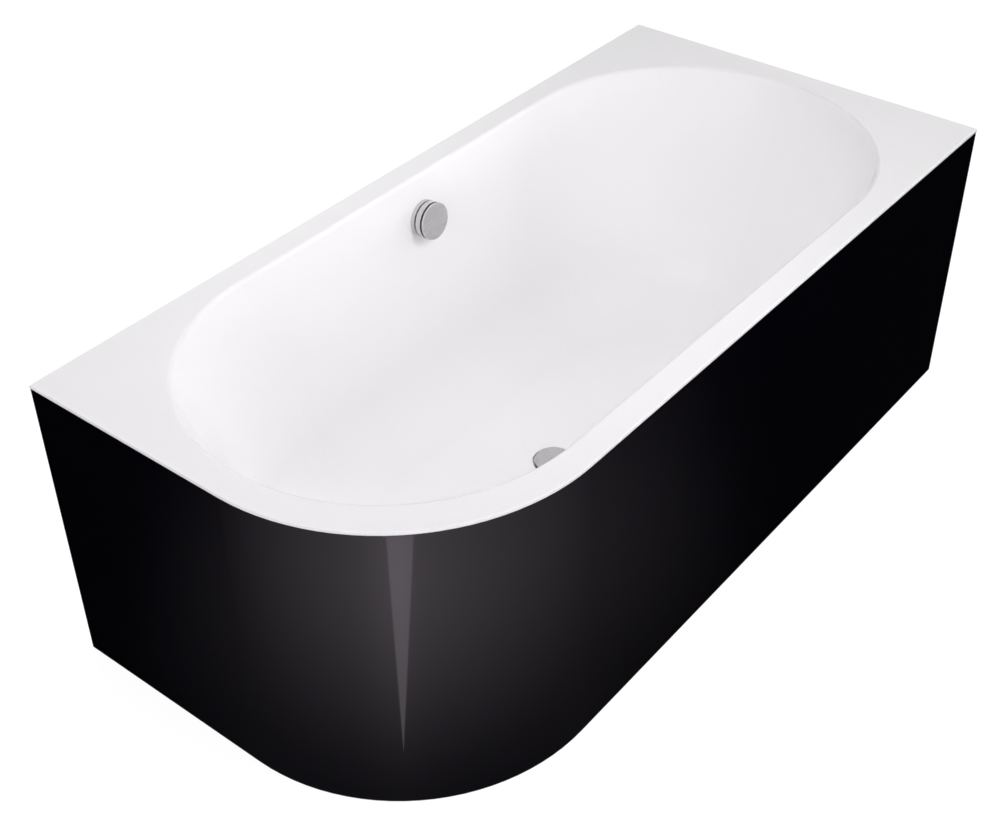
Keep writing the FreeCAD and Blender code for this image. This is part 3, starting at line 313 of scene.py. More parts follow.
@dataclass(frozen=True)
class PressedBoard(Finish):
    """Chipboard of pressed flakes."""

    pale: Colour = (0.74, 0.6, 0.42)
    deep: Colour = (0.5, 0.36, 0.21)
    flakes: float = 190.0
    stretch: Point = (1.0, 1.6, 1.0)
    dust: float = 60.0
    roughness: Pair = (0.65, 0.85)
    depth: float = 0.0003

    def mix(self) -> bpy.types.Material:
        """Builds the board from its flakes and a cloud of dust.

        Returns:
            The material.
        """
        recipe = Recipe(self.name)
        metres = recipe.place(self.stretch)
        flake = recipe.cells(metres, self.flakes)
        recipe.set(Base_Color=recipe.between(recipe.tone(flake), self.deep, self.pale))
        recipe.set(Roughness=recipe.span(recipe.noise(metres, self.dust), *self.roughness))
        recipe.relief(flake.outputs["Distance"], self.depth)
        return recipe.material


@dataclass(frozen=True)
class Metal(Finish):
    """A bare or plated metal with fine lines and a faint spangle."""

    pale: Colour
    deep: Colour
    roughness: Pair
    lines: LineWay = LineWay.ROLLED
    spangle: float = 140.0
    line_detail: float = 4.0
    depth: float = 0.00002

    def mix(self) -> bpy.types.Material:
        """Builds the metal, its spangle in the colour and its lines in the gloss.

        Returns:
            The material.
        """
        recipe = Recipe(self.name)
        lines = recipe.noise(recipe.place(self.lines.value), 1.0, self.line_detail)
        flake = recipe.cells(recipe.place(), self.spangle)
        recipe.set(Base_Color=recipe.between(recipe.tone(flake), self.deep, self.pale), Metallic=1.0)
        recipe.set(Roughness=recipe.span(lines, *self.roughness))
        recipe.relief(lines, self.depth)
        return recipe.material


@dataclass(frozen=True)
class Moulded(Finish):
    """Moulded plastic or rubber with a fine eroded grain."""

    pale: Colour
    deep: Colour
    roughness: Pair
    grain: float = 900.0
    grain_detail: float = 2.0
    clouds: float = 24.0
    depth: float = 0.00006

    def mix(self) -> bpy.types.Material:
        """Builds the plastic from flow clouds and the mould's grain.

        Returns:
            The material.
        """
        recipe = Recipe(self.name)
        metres = recipe.place()
        cloud = recipe.noise(metres, self.clouds)
        skin = recipe.noise(metres, self.grain, self.grain_detail)
        recipe.set(Base_Color=recipe.between(cloud, self.deep, self.pale))
        recipe.set(Roughness=recipe.span(cloud, *self.roughness))
        recipe.relief(skin, self.depth)
        return recipe.material


@lru_cache(maxsize=None)
def material_of(finish: Finish) -> bpy.types.Material:
    """Gives a finish's material, made once."""
    return finish.mix()


ACRYLIC_WHITE = GlossAcrylic("acrylic_white")
ACRYLIC_BLACK = BlackGloss("acrylic_black")
PINE_LONG = SawnTimber("pine_along", GrainAxis.ALONG_TUB)
PINE_CROSS = SawnTimber("pine_across", GrainAxis.ACROSS_TUB)
PINE_BENT = SawnTimber("pine_corner", GrainAxis.ROUND_CORNER)
CHIPBOARD = PressedBoard("chipboard")
ZINC_STEEL = Metal("zinc_steel", (0.62, 0.63, 0.65), (0.5, 0.52, 0.54), (0.3, 0.44))
BRIGHT_ZINC = Metal("bright_zinc", (0.66, 0.65, 0.61), (0.55, 0.55, 0.52), (0.24, 0.36), spangle=400.0)
SATIN_CHROME = Metal("satin_chrome", (0.64, 0.63, 0.64), (0.58, 0.57, 0.58), (0.2, 0.3),
                     LineWay.BRUSHED, 600.0)
PLUG_CHROME = Metal("plug_chrome", (0.52, 0.51, 0.52), (0.47, 0.46, 0.47), (0.2, 0.3),
                    LineWay.BRUSHED, 600.0)
TURNED_BRASS = Metal("turned_brass", (0.74, 0.58, 0.31), (0.66, 0.5, 0.25), (0.2, 0.32),
                     LineWay.TURNED, 500.0)
DRAWN_WIRE = Metal("drawn_wire", (0.56, 0.56, 0.55), (0.42, 0.42, 0.42), (0.25, 0.4),
                   LineWay.DRAWN, 700.0)
FOOT_BLACK = Moulded("foot_black", (0.036, 0.036, 0.037), (0.024, 0.024, 0.025), (0.42, 0.58))
SEAL_RUBBER = Moulded("seal_rubber", (0.03, 0.03, 0.03), (0.018, 0.018, 0.018), (0.65, 0.8))
FITTING_WHITE = Moulded("fitting_white", (0.79, 0.8, 0.8), (0.72, 0.73, 0.74), (0.32, 0.42))
FITTING_DARK = Moulded("fitting_dark", (0.06, 0.06, 0.065), (0.04, 0.04, 0.045), (0.38, 0.5))
HOSE_GREY = Moulded("hose_grey", (0.53, 0.54, 0.55), (0.45, 0.46, 0.47), (0.36, 0.5), 500.0)
SHEATH_BLACK = Moulded("sheath_black", (0.03, 0.03, 0.03), (0.016, 0.016, 0.016), (0.35, 0.5))


@dataclass
class Ring:
    """One ring of points of a turned or swept piece."""

    middle: Vector
    across: Vector
    up: Vector
    radii: list[float]

    def points(self) -> list[Vector]:
        """Spreads the ring's points evenly round its middle.

        Returns:
            The points in order.
        """
        step = 2 * math.pi / len(self.radii)
        sides = [(math.cos(k * step) * r, math.sin(k * step) * r) for k, r in enumerate(self.radii)]
        return [self.middle + self.across * u + self.up * v for u, v in sides]


class MeshDraft:
    """Points and faces of a new piece, gathered ring by ring."""

    def __init__(self) -> None:
        """Starts with no points."""
        self.points: list[Vector] = []
        self.faces: list[tuple[int, ...]] = []

    def skin(self, rings: list[Ring], closed: bool) -> None:
        """Stretches a skin over rings of equal counts.

        Args:
            rings: the rings in order, each wound the same way.
            closed: True to join the last ring to the first, False to cap both ends.
        """
        start = len(self.points)
        count = len(rings[0].radii)
        for ring in rings:
            self.points.extend(ring.points())
        last = len(rings) if closed else len(rings) - 1
        for row in range(last):
            low = start + row * count
            high = start + (row + 1) % len(rings) * count
            for k in range(count):
                turn = (k + 1) % count
                self.faces.append((low + k, low + turn, high + turn, high + k))
        if not closed:
            end = start + (len(rings) - 1) * count
            self.faces.append(tuple(range(start + count - 1, start - 1, -1)))
            self.faces.append(tuple(range(end, end + count)))

    def piece(self, name: str, finish: Finish, crease: float) -> bpy.types.Object:
        """Turns the draft into an object of the scene.

        Args:
            name: the piece's name.
            finish: its finish.
            crease: edges sharper than this many degrees stay crisp.

        Returns:
            The new object.
        """
        mesh = bpy.data.meshes.new(name)
        mesh.from_pydata(self.points, [], self.faces)
        mesh.materials.append(material_of(finish))
        mesh.shade_smooth()
        mesh.set_sharp_from_angle(angle=math.radians(crease))
        made = bpy.data.objects.new(name, mesh)
        bpy.context.scene.collection.objects.link(made)
        return made


class SubAssembly:
    """A group of the bathtub's pieces that is built and dressed together."""

    def dress(self, finish: Finish, *nodes: str) -> list[str]:
        """Gives CAD nodes their finish.

        Args:
            finish: the finish.
            nodes: the nodes' names.

        Returns:
            The names of the nodes that were dressed.
        """
        for node in nodes:
            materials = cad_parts[node].data.materials
            materials.clear()
            materials.append(material_of(finish))
        return list(nodes)

    def seat(self, made: bpy.types.Object, body: str, slot: str, *nodes: str) -> str:
        """Puts a new piece in the place of CAD nodes.

        Args:
            made: the new piece.
            body: the body that it rides on.
            slot: the record's material slot; not used.
            nodes: the nodes that it stands for.

        Returns:
            The new piece's name.
        """
        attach(made, body)
        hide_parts(*nodes)
        return made.name

    def build(self) -> list[str]:
        """Builds and dresses the group and gives its pieces' names; each group has its own."""
        raise NotImplementedError


@dataclass
class Tub(SubAssembly):
    """The acrylic shell and the black apron panel round its two free sides."""

    def build(self) -> list[str]:
        """Dresses the shell and the panel and gives their names."""
        return self.dress(ACRYLIC_WHITE, "tub_shell") + self.dress(ACRYLIC_BLACK, "apron_panel")


@dataclass
class TimberFrame(SubAssembly):
    """The battens under the rim, the board under the floor and the blocks behind the panel."""

    def build(self) -> list[str]:
        """Dresses the timber with its grain along each piece.

        Returns:
            The pieces' names.
        """
        long_ones = ("batten_back", "batten_front", "panel_block_front_near", "panel_block_front_far")
        cross_ones = ("batten_far_end", "batten_near_end", "panel_block_near_end")
        names = self.dress(PINE_LONG, *long_ones) + self.dress(PINE_CROSS, *cross_ones)
        return names + self.dress(PINE_BENT, "batten_corner") + self.dress(CHIPBOARD, "base_board")


@dataclass
class Undercarriage(SubAssembly):
    """The two cross rails and the four screw feet."""

    foot_x: float = 0.3700436
    foot_y: float = 0.2246356
    stem_low: float = 0.004
    stem_high: float = 0.076
    stem_radius: float = 0.006
    thread_depth: float = 0.0009
    thread_pitch: float = 0.00175
    groove_half: float = 0.42
    end_bevel: float = 0.0012
    steps_per_turn: int = 28
    rows_per_pitch: int = 7
    crease: float = 50.0

    def stem_rings(self, x: float, y: float) -> list[Ring]:
        """Gives the rings of one threaded stem.

        Args:
            x: where the stem stands along the tub.
            y: where it stands across the tub.

        Returns:
            The rings from the lower end to the upper one.
        """
        rows = round((self.stem_high - self.stem_low) / self.thread_pitch * self.rows_per_pitch)
        rings = []
        for row in range(rows + 1):
            z = self.stem_low + (self.stem_high - self.stem_low) * row / rows
            end_cut = max(0.0, self.end_bevel - min(z - self.stem_low, self.stem_high - z))
            radii = []
            for k in range(self.steps_per_turn):
                phase = (z / self.thread_pitch - k / self.steps_per_turn) % 1.0
                groove = max(0.0, 1.0 - abs(phase - 0.5) / self.groove_half)
                radii.append(self.stem_radius - max(self.thread_depth * groove, end_cut))
            rings.append(Ring(Vector((x, y, z)), Vector((1, 0, 0)), Vector((0, 1, 0)), radii))
        return rings

    def build(self) -> list[str]:
        """Cuts the threads of the four stems and dresses the rest.

        Returns:
            The pieces' names.
        """
        names = self.dress(ZINC_STEEL, "cross_rail_near", "cross_rail_far")
        names += self.dress(BRIGHT_ZINC, "rail_screws", "weld_nuts", "lock_nuts")
        places = [(x, y) for x in (-self.foot_x, self.foot_x) for y in (-self.foot_y, self.foot_y)]
        for number, (x, y) in enumerate(places, 1):
            draft = MeshDraft()
            draft.skin(self.stem_rings(x, y), False)
            stem = draft.piece(f"threaded_stem_{number}", BRIGHT_ZINC, self.crease)
            names.append(self.seat(stem, f"foot_{number}", "fasteners", f"foot_stem_{number}"))
            names += self.dress(FOOT_BLACK, f"foot_pad_{number}")
        return names


@dataclass
class StaysAndBrackets(SubAssembly):
    """The panel's stays with their bolts, and the brackets that screw to the walls."""

    def build(self) -> list[str]:
        """Dresses the steel and its screws.

        Returns:
            The pieces' names.
        """
        stays = ("stay_front_near", "stay_front_far", "stay_near_end")
        places = ("back_near", "back_far", "end_front", "end_back")
        brackets = [f"wall_bracket_{place}" for place in places]
        screws = ("stay_bolts", "stay_nuts", "stay_screws", "bracket_screws")
        return self.dress(ZINC_STEEL, *stays, *brackets) + self.dress(BRIGHT_ZINC, *screws)


@dataclass
class GripNut:
    """A plastic screw ring with grip ribs round it."""

    middle: Point
    axis: Point
    radius: float
    bore: float
    length: float
    ribs: int = 20
    rib_depth: float = 0.0013
    bevel: float = 0.0012
    collar_share: float = 0.62
    steps_per_rib: int = 6
    crease: float = 35.0

    def add_to(self, draft: MeshDraft) -> None:
        """Adds the nut as one closed skin, round its outside and back through its bore.

        Args:
            draft: the draft that takes the nut.
        """
        ahead = Vector(self.axis).normalized()
        across = ahead.orthogonal().normalized()
        up = ahead.cross(across)
        count = self.ribs * self.steps_per_rib
        dips = [(1 - wave(k % self.steps_per_rib / self.steps_per_rib)) ** 2 for k in range(count)]
        ribbed = [self.radius - self.rib_depth * dip for dip in dips]
        root = [self.radius - self.rib_depth] * count
        edge = [self.radius - self.rib_depth - self.bevel] * count
        bore = [self.bore] * count
        half = self.length / 2
        collar = half * self.collar_share
        profile = [(-half, edge), (-half + self.bevel, root), (-collar, root), (-collar, ribbed)]
        profile += [(collar, ribbed), (collar + self.bevel, root), (half - self.bevel, root)]
        profile += [(half, edge), (half, bore), (-half, bore)]
        middle = Vector(self.middle)
        draft.skin([Ring(middle + ahead * along, across, up, radii) for along, radii in profile], True)


@dataclass
class WasteSet(SubAssembly):
    """The pop-up plug, its flange and body, and the lever that lifts it."""

    def build(self) -> list[str]:
        """Dresses the plug's pieces.

        Returns:
            The pieces' names.
        """
        names = self.dress(PLUG_CHROME, "plug_cap", "waste_flange")
        names += self.dress(SEAL_RUBBER, "plug_seal", "waste_flange_seal", "waste_body_seal")
        names += self.dress(TURNED_BRASS, "plug_stem", "lever_pin")
        return names + self.dress(FITTING_WHITE, "waste_body") + self.dress(ZINC_STEEL, "lift_lever")


@dataclass
class TrapSet(SubAssembly):
    """The bottle trap, its grip nuts and the outlet pipe."""

    stub_reach: float = 0.062
    pipe_z: float = 0.042
    bowl_x: float = -0.12
    nut_radius: float = 0.024
    nut_bore: float = 0.0203
    nut_length: float = 0.018

    def build(self) -> list[str]:
        """Builds the two grip nuts and dresses the trap.

        Returns:
            The pieces' names.
        """
        names = self.dress(FITTING_WHITE, "trap_bowl", "outlet_pipe")
        names += self.dress(FITTING_DARK, "trap_cap")
        inlet = (-self.stub_reach, 0.0, self.pipe_z)
        outlet = (self.bowl_x, self.stub_reach, self.pipe_z)
        draft = MeshDraft()
        for middle, axis in ((inlet, (1, 0, 0)), (outlet, (0, 1, 0))):
            GripNut(middle, axis, self.nut_radius, self.nut_bore, self.nut_length).add_to(draft)
        nuts = draft.piece("trap_grip_nuts", FITTING_DARK, GripNut.crease)
        return names + [self.seat(nuts, "tub", "fitting_dark", "trap_nuts")]


@dataclass
class OverflowSet(SubAssembly):
    """The overflow trim, the turning knob and the housing behind the wall."""

    def build(self) -> list[str]:
        """Dresses the overflow's pieces.

        Returns:
            The pieces' names.
        """
        names = self.dress(SATIN_CHROME, "overflow_base_ring", "overflow_inlet_ring", "knob_cap")
        names += self.dress(TURNED_BRASS, "knob_spindle")
        names += self.dress(FITTING_WHITE, "overflow_body", "cable_drum")
        return names + self.dress(SEAL_RUBBER, "overflow_seal")


@dataclass
class HoseRun(SubAssembly):
    """The ribbed overflow hose and its two grip nuts."""

    top: Point = (0.031, 0.37102, 0.44262)
    lead: Point = (0.031, 0.35997, 0.31635)
    corner: Point = (0.031, 0.33597, 0.042)
    end: Point = (0.0057, 0.06174, 0.042)
    line_steps: int = 80
    crest: float = 0.016
    valley: float = 0.014
    bore: float = 0.0125
    cuff: float = 0.014
    rib_pitch: float = 0.008
    rib_fullness: float = 0.7
    steps_round: int = 36
    rows_per_rib: int = 8
    crease: float = 60.0
    nut_radius: float = 0.022
    nut_bore: float = 0.0163
    nut_length: float = 0.02

    def line(self) -> list[Vector]:
        """Reads the hose's smooth middle line from its spline.

        Returns:
            The points along it, from the overflow to the waste.
        """
        curve = bpy.data.curves.new("hose_line", "CURVE")
        curve.dimensions = "3D"
        spline = curve.splines.new("NURBS")
        marks = (self.top, self.lead, self.corner, self.end)
        spline.points.add(len(marks) - 1)
        for point, mark in zip(spline.points, marks):
            point.co = (*mark, 1.0)
        spline.order_u = 3
        spline.use_endpoint_u = True
        spline.resolution_u = self.line_steps
        carrier = bpy.data.objects.new("hose_line", curve)
        read = bpy.data.meshes.new_from_object(carrier)
        points = [vertex.co.copy() for vertex in read.vertices]
        bpy.data.objects.remove(carrier)
        bpy.data.curves.remove(curve)
        bpy.data.meshes.remove(read)
        return points

    def radius_at(self, distance: float, length: float) -> float:
        """Gives the hose's outer radius.

        Args:
            distance: how far along the hose.
            length: the hose's length.

        Returns:
            The radius in metres: the crest on the cuffs and a rounded wave between them.
        """
        ribbed = length - 2 * self.cuff
        pitch = ribbed / round(ribbed / self.rib_pitch)
        turns = min(max(distance - self.cuff, 0.0), ribbed) / pitch
        return self.valley + (self.crest - self.valley) * wave(turns) ** self.rib_fullness

    def rings(self, points: list[Vector]) -> list[Ring]:
        """Gives the rings of the hose, down its outside and back up its bore.

        Args:
            points: the middle line.

        Returns:
            The rings of one closed skin.
        """
        reach = [0.0]
        for here, ahead in zip(points, points[1:]):
            reach.append(reach[-1] + (ahead - here).length)
        length = reach[-1]
        ribbed = length - 2 * self.cuff
        rows = round(ribbed / self.rib_pitch) * self.rows_per_rib
        outside = [0.0] + [self.cuff + ribbed * row / rows for row in range(rows + 1)] + [length]
        rings = []
        across = Vector((1, 0, 0))
        leg = 0
        for distance in outside:
            while leg < len(points) - 2 and reach[leg + 1] < distance:
                leg += 1
            run = points[leg + 1] - points[leg]
            share = (distance - reach[leg]) / run.length
            ahead = run.normalized()
            across = (across - ahead * across.dot(ahead)).normalized()
            radii = [self.radius_at(distance, length)] * self.steps_round
            rings.append(Ring(points[leg] + run * share, across, ahead.cross(across), radii))
        bore = [self.bore] * self.steps_round
        inside = [Ring(ring.middle, ring.across, ring.up, bore) for ring in rings[::self.rows_per_rib]]
        inside.append(Ring(rings[-1].middle, rings[-1].across, rings[-1].up, bore))
        return rings + inside[::-1]

    def build(self) -> list[str]:
        """Builds the hose and its nuts.

        Returns:
            The pieces' names.
        """
        draft = MeshDraft()
        draft.skin(self.rings(self.line()), True)
        hose = draft.piece("ribbed_hose", HOSE_GREY, self.crease)
        names = [self.seat(hose, "tub", "hose_grey", "overflow_hose")]
        nuts = MeshDraft()
        for middle in (self.top, self.end):
            axis = tuple(Vector(self.corner) - Vector(middle))
            GripNut(middle, axis, self.nut_radius, self.nut_bore, self.nut_length).add_to(nuts)
        pair = nuts.piece("hose_grip_nuts", FITTING_DARK, GripNut.crease)
        return names + [self.seat(pair, "tub", "fitting_dark", "hose_nuts")]


@dataclass
class LiftCable(SubAssembly):
    """The sheathed cable from the knob to the plug's lever."""

    def build(self) -> list[str]:
        """Dresses the sheath and its wire and gives the names."""
        return self.dress(SHEATH_BLACK, "cable_sheath") + self.dress(DRAWN_WIRE, "cable_wire")


class BackdropRays:
    """Nodes that tell the rays that see the backdrop from those that light the object."""

    def __init__(self, tree: bpy.types.NodeTree) -> None:
        """Works on that node tree."""
        self.tree = tree

    def seen(self) -> bpy.types.NodeSocket:
        """Tells the rays that see the backdrop.

        Returns:
            A socket with 1 for rays from the camera, a gloss or a clear piece, else 0.
        """
        path = self.tree.nodes.new("ShaderNodeLightPath")
        socket = path.outputs["Is Camera Ray"]
        for name in ("Is Glossy Ray", "Is Transmission Ray"):
            either = self.tree.nodes.new("ShaderNodeMath")
            either.operation = "MAXIMUM"
            self.tree.links.new(socket, either.inputs[0])
            self.tree.links.new(path.outputs[name], either.inputs[1])
            socket = either.outputs[0]
        return socket

    def split(self, lighting: bpy.types.Node, backdrop: bpy.types.Node, output: bpy.types.Node) -> None:
        """Sends each kind of ray to its own shader.

        Args:
            lighting: the shader that lights the object.
            backdrop: the shader that is seen.
            output: the tree's output node.
        """
        chooser = self.tree.nodes.new("ShaderNodeMixShader")
        self.tree.links.new(self.seen(), chooser.inputs[0])
        self.tree.links.new(lighting.outputs[0], chooser.inputs[1])
        self.tree.links.new(backdrop.outputs[0], chooser.inputs[2])
        self.tree.links.new(chooser.outputs[0], output.inputs["Surface"])


@dataclass
class SoftBox:
    """A studio lamp with a flat face that looks at one point."""

    name: str
    place: Point
    target: Point
    size: Pair
    watts: float
    spread: float = 180.0
    colour: Colour = (1.0, 0.98, 1.0)

    def hang(self) -> None:
        """Hangs the lamp in the studio."""
        lamp = bpy.data.lights.new(self.name, "AREA")
        lamp.shape = "RECTANGLE"
        lamp.size, lamp.size_y = self.size
        lamp.energy = self.watts
        lamp.color = self.colour
        lamp.spread = math.radians(self.spread)
        made = bpy.data.objects.new(self.name, lamp)
        aim = (Vector(self.target) - Vector(self.place)).to_track_quat("-Z", "Y")
        made.matrix_world = Matrix.Translation(self.place) @ aim.to_matrix().to_4x4()
        made.visible_camera = False
        made.visible_glossy = False
        bpy.context.scene.collection.objects.link(made)


@dataclass
class LitSheet:
    """A sheet in the making, each point with its own light and clearness."""

    points: list[Point] = field(default_factory=list)
    lights: list[float] = field(default_factory=list)
    clears: list[float] = field(default_factory=list)
    faces: list[tuple[int, ...]] = field(default_factory=list)

    def add(self, point: Point, light: float, clearness: float) -> int:
        """Adds one point.

        Args:
            point: where it lies.
            light: the strength of its light, where 1 is white.
            clearness: from 0 for opaque to 1 for clear.

        Returns:
            The point's number.
        """
        self.points.append(point)
        self.lights.append(light)
        self.clears.append(clearness)
        return len(self.points) - 1

    def mesh(self, name: str) -> bpy.types.Mesh:
        """Turns the sheet into a mesh.

        Args:
            name: the mesh's name.

        Returns:
            The mesh, with its light and clearness as attributes.
        """
        made = bpy.data.meshes.new(name)
        made.from_pydata(self.points, [], self.faces)
        for label, values in (("light", self.lights), ("clearness", self.clears)):
            made.attributes.new(label, "FLOAT", "POINT").data.foreach_set("value", values)
        return made


# Painted reflection: this card glows though it is no lamp and lights nothing; its dark paints shade and its
# pool and wedge paint highlights into the black panel's gloss
@dataclass
class PaintedReflectionCard:
    """A painted reflection: a dark card on the floor that only gloss shows, with a pool of light and a
    sharp wedge in it.

    Turns are in degrees round the middle of the panel's bend, from the near end towards the front.
    """

    # The middle and the radius of the panel's bend
    middle: Pair = (-0.463, -0.0205)
    bend: float = 0.386

    # The card's reach and sweep, its soft borders and the fineness of its mesh
    reach: Pair = (0.3, 3.4)
    sweep: Pair = (-85.0, 185.0)
    soft_reach: float = 0.6
    soft_sweep: float = 20.0
    height: float = 0.003
    rows: int = 62
    columns: int = 90

    # The pool of light, a painted highlight in the panel's gloss, which rises away from the panel and falls
    # off to both sides of its peak
    colour: Colour = (1.0, 0.9, 1.0)
    # The card's dark, painted shade in the panel's reflection of the floor
    dark: float = 0.004
    strength: float = 1.12
    rise: Pair = (0.365, 0.96)
    foot_light: float = 0.07
    peak: float = 41.1
    width_near: float = 86.0
    width_front: float = 107.0
    fall: float = 1.57

    # A narrow ridge in the pool
    ridge: float = 0.14
    ridge_peak: float = 36.5
    ridge_width: float = 8.0

    # The wedge, a painted highlight, as it shows on the bend: its top's two turns and height, and its tip's
    # turn and height
    wedge_top: tuple[float, float, float] = (39.63, 45.46, 0.592)
    wedge_tip: Pair = (40.07, 0.1206)
    wedge_light: float = 0.85
    wedge_steps: int = 12

    def outward(self, turn: float) -> Vector:
        """Gives the level direction away from the middle of the bend at that turn."""
        return Vector((-math.cos(math.radians(turn)), -math.sin(math.radians(turn)), 0.0))

    def glow_at(self, distance: float, turn: float) -> float:
        """Gives the pool's light.

        Args:
            distance: from the middle of the bend, in metres.
            turn: round that middle.

        Returns:
            The strength of the light, where 1 is white.
        """
        # Dimmer near the panel's foot: painted shade in the panel's reflection
        climb = self.foot_light + (1 - self.foot_light) * eased(distance, *self.rise)
        away = abs(turn - self.peak)
        width = self.width_near if turn < self.peak else self.width_front
        pool = self.strength * max(1 - away / width, 0.0) ** self.fall
        ridge = self.ridge * math.exp(-((turn - self.ridge_peak) / self.ridge_width) ** 2)
        return self.dark + climb * (pool + ridge)

    def cover_at(self, distance: float, turn: float) -> float:
        """Gives how much of the floor the card hides under its painted shade.

        Args:
            distance: from the middle of the bend, in metres.
            turn: round that middle.

        Returns:
            The share, from 0 at the card's border to 1.
        """
        side = min(turn - self.sweep[0], self.sweep[1] - turn)
        ahead = self.reach[1] - distance
        return eased(ahead, 0.0, self.soft_reach) * eased(side, 0.0, self.soft_sweep)

    def mirrored(self, eye: Vector, turn: float, height: float) -> Point:
        """Gives the floor's point that an eye sees mirrored in the bend.

        Args:
            eye: where the eye stands.
            turn: of the bend's point.
            height: of the bend's point, in metres.

        Returns:
            The point, just above the card.
        """
        square = self.outward(turn)
        spot = Vector((*self.middle, height)) + square * self.bend
        ray = (spot - eye).reflect(square)
        landing = spot - ray * (height / ray.z)
        return (landing.x, landing.y, 2 * self.height)

    def add_pool(self, sheet: LitSheet) -> None:
        """Adds the dark card with its pool of light to an empty sheet.

        Args:
            sheet: the sheet that takes it.
        """
        middle = Vector((*self.middle, self.height))
        for row in range(self.rows + 1):
            distance = self.reach[0] + (self.reach[1] - self.reach[0]) * row / self.rows
            for column in range(self.columns + 1):
                turn = self.sweep[0] + (self.sweep[1] - self.sweep[0]) * column / self.columns
                cover = self.cover_at(distance, turn)
                point = tuple(middle + self.outward(turn) * distance)
                here = sheet.add(point, cover * self.glow_at(distance, turn), 1 - cover)
                before = here - self.columns - 1
                if row and column:
                    sheet.faces.append((here, here - 1, before - 1, before))

    def add_wedge(self, sheet: LitSheet, eye: Vector) -> None:
        """Adds the wedge, a painted highlight whose sides look straight in the bend from one eye.

        Args:
            sheet: the sheet that takes it.
            eye: where that eye stands.
        """
        left, right, top = self.wedge_top
        tip, foot = self.wedge_tip
        for step in range(self.wedge_steps + 1):
            share = step / self.wedge_steps
            height = top + (foot - top) * share
            for side in (left, right):
                point = self.mirrored(eye, side + (tip - side) * share, height)
                here = sheet.add(point, self.wedge_light, 1.0)
            if step:
                sheet.faces.append((here - 3, here - 2, here, here - 1))

    def finish(self) -> bpy.types.Material:
        """Builds the material that shows each point's own light and clearness.

        Returns:
            The material.
        """
        recipe = Recipe("painted_reflection_card")
        light = recipe.put("Attribute", {}, attribute_name="light").outputs["Fac"]
        clearness = recipe.put("Attribute", {}, attribute_name="clearness").outputs["Fac"]
        glow = recipe.put("Emission", {"Color": (*self.colour, 1.0), "Strength": light})
        clear = recipe.put("BsdfTransparent", {"Color": clearness})
        both = recipe.put("AddShader", {0: clear.outputs[0], 1: glow.outputs[0]})
        recipe.feed(recipe.tree.nodes["Material Output"].inputs["Surface"], both.outputs[0])
        recipe.tree.nodes.remove(recipe.shader)
        return recipe.material

    def lay(self, eye: Vector) -> None:
        """Lays the card just above the floor.

        Args:
            eye: where the wedge looks straight from.
        """
        sheet = LitSheet()
        self.add_pool(sheet)
        self.add_wedge(sheet, eye)
        mesh = sheet.mesh("painted_reflection_card")
        mesh.materials.append(self.finish())
        card = bpy.data.objects.new("painted_reflection_card", mesh)
        card.visible_camera = False
        card.visible_diffuse = False
        card.visible_transmission = False
        card.visible_shadow = False
        bpy.context.scene.collection.objects.link(card)


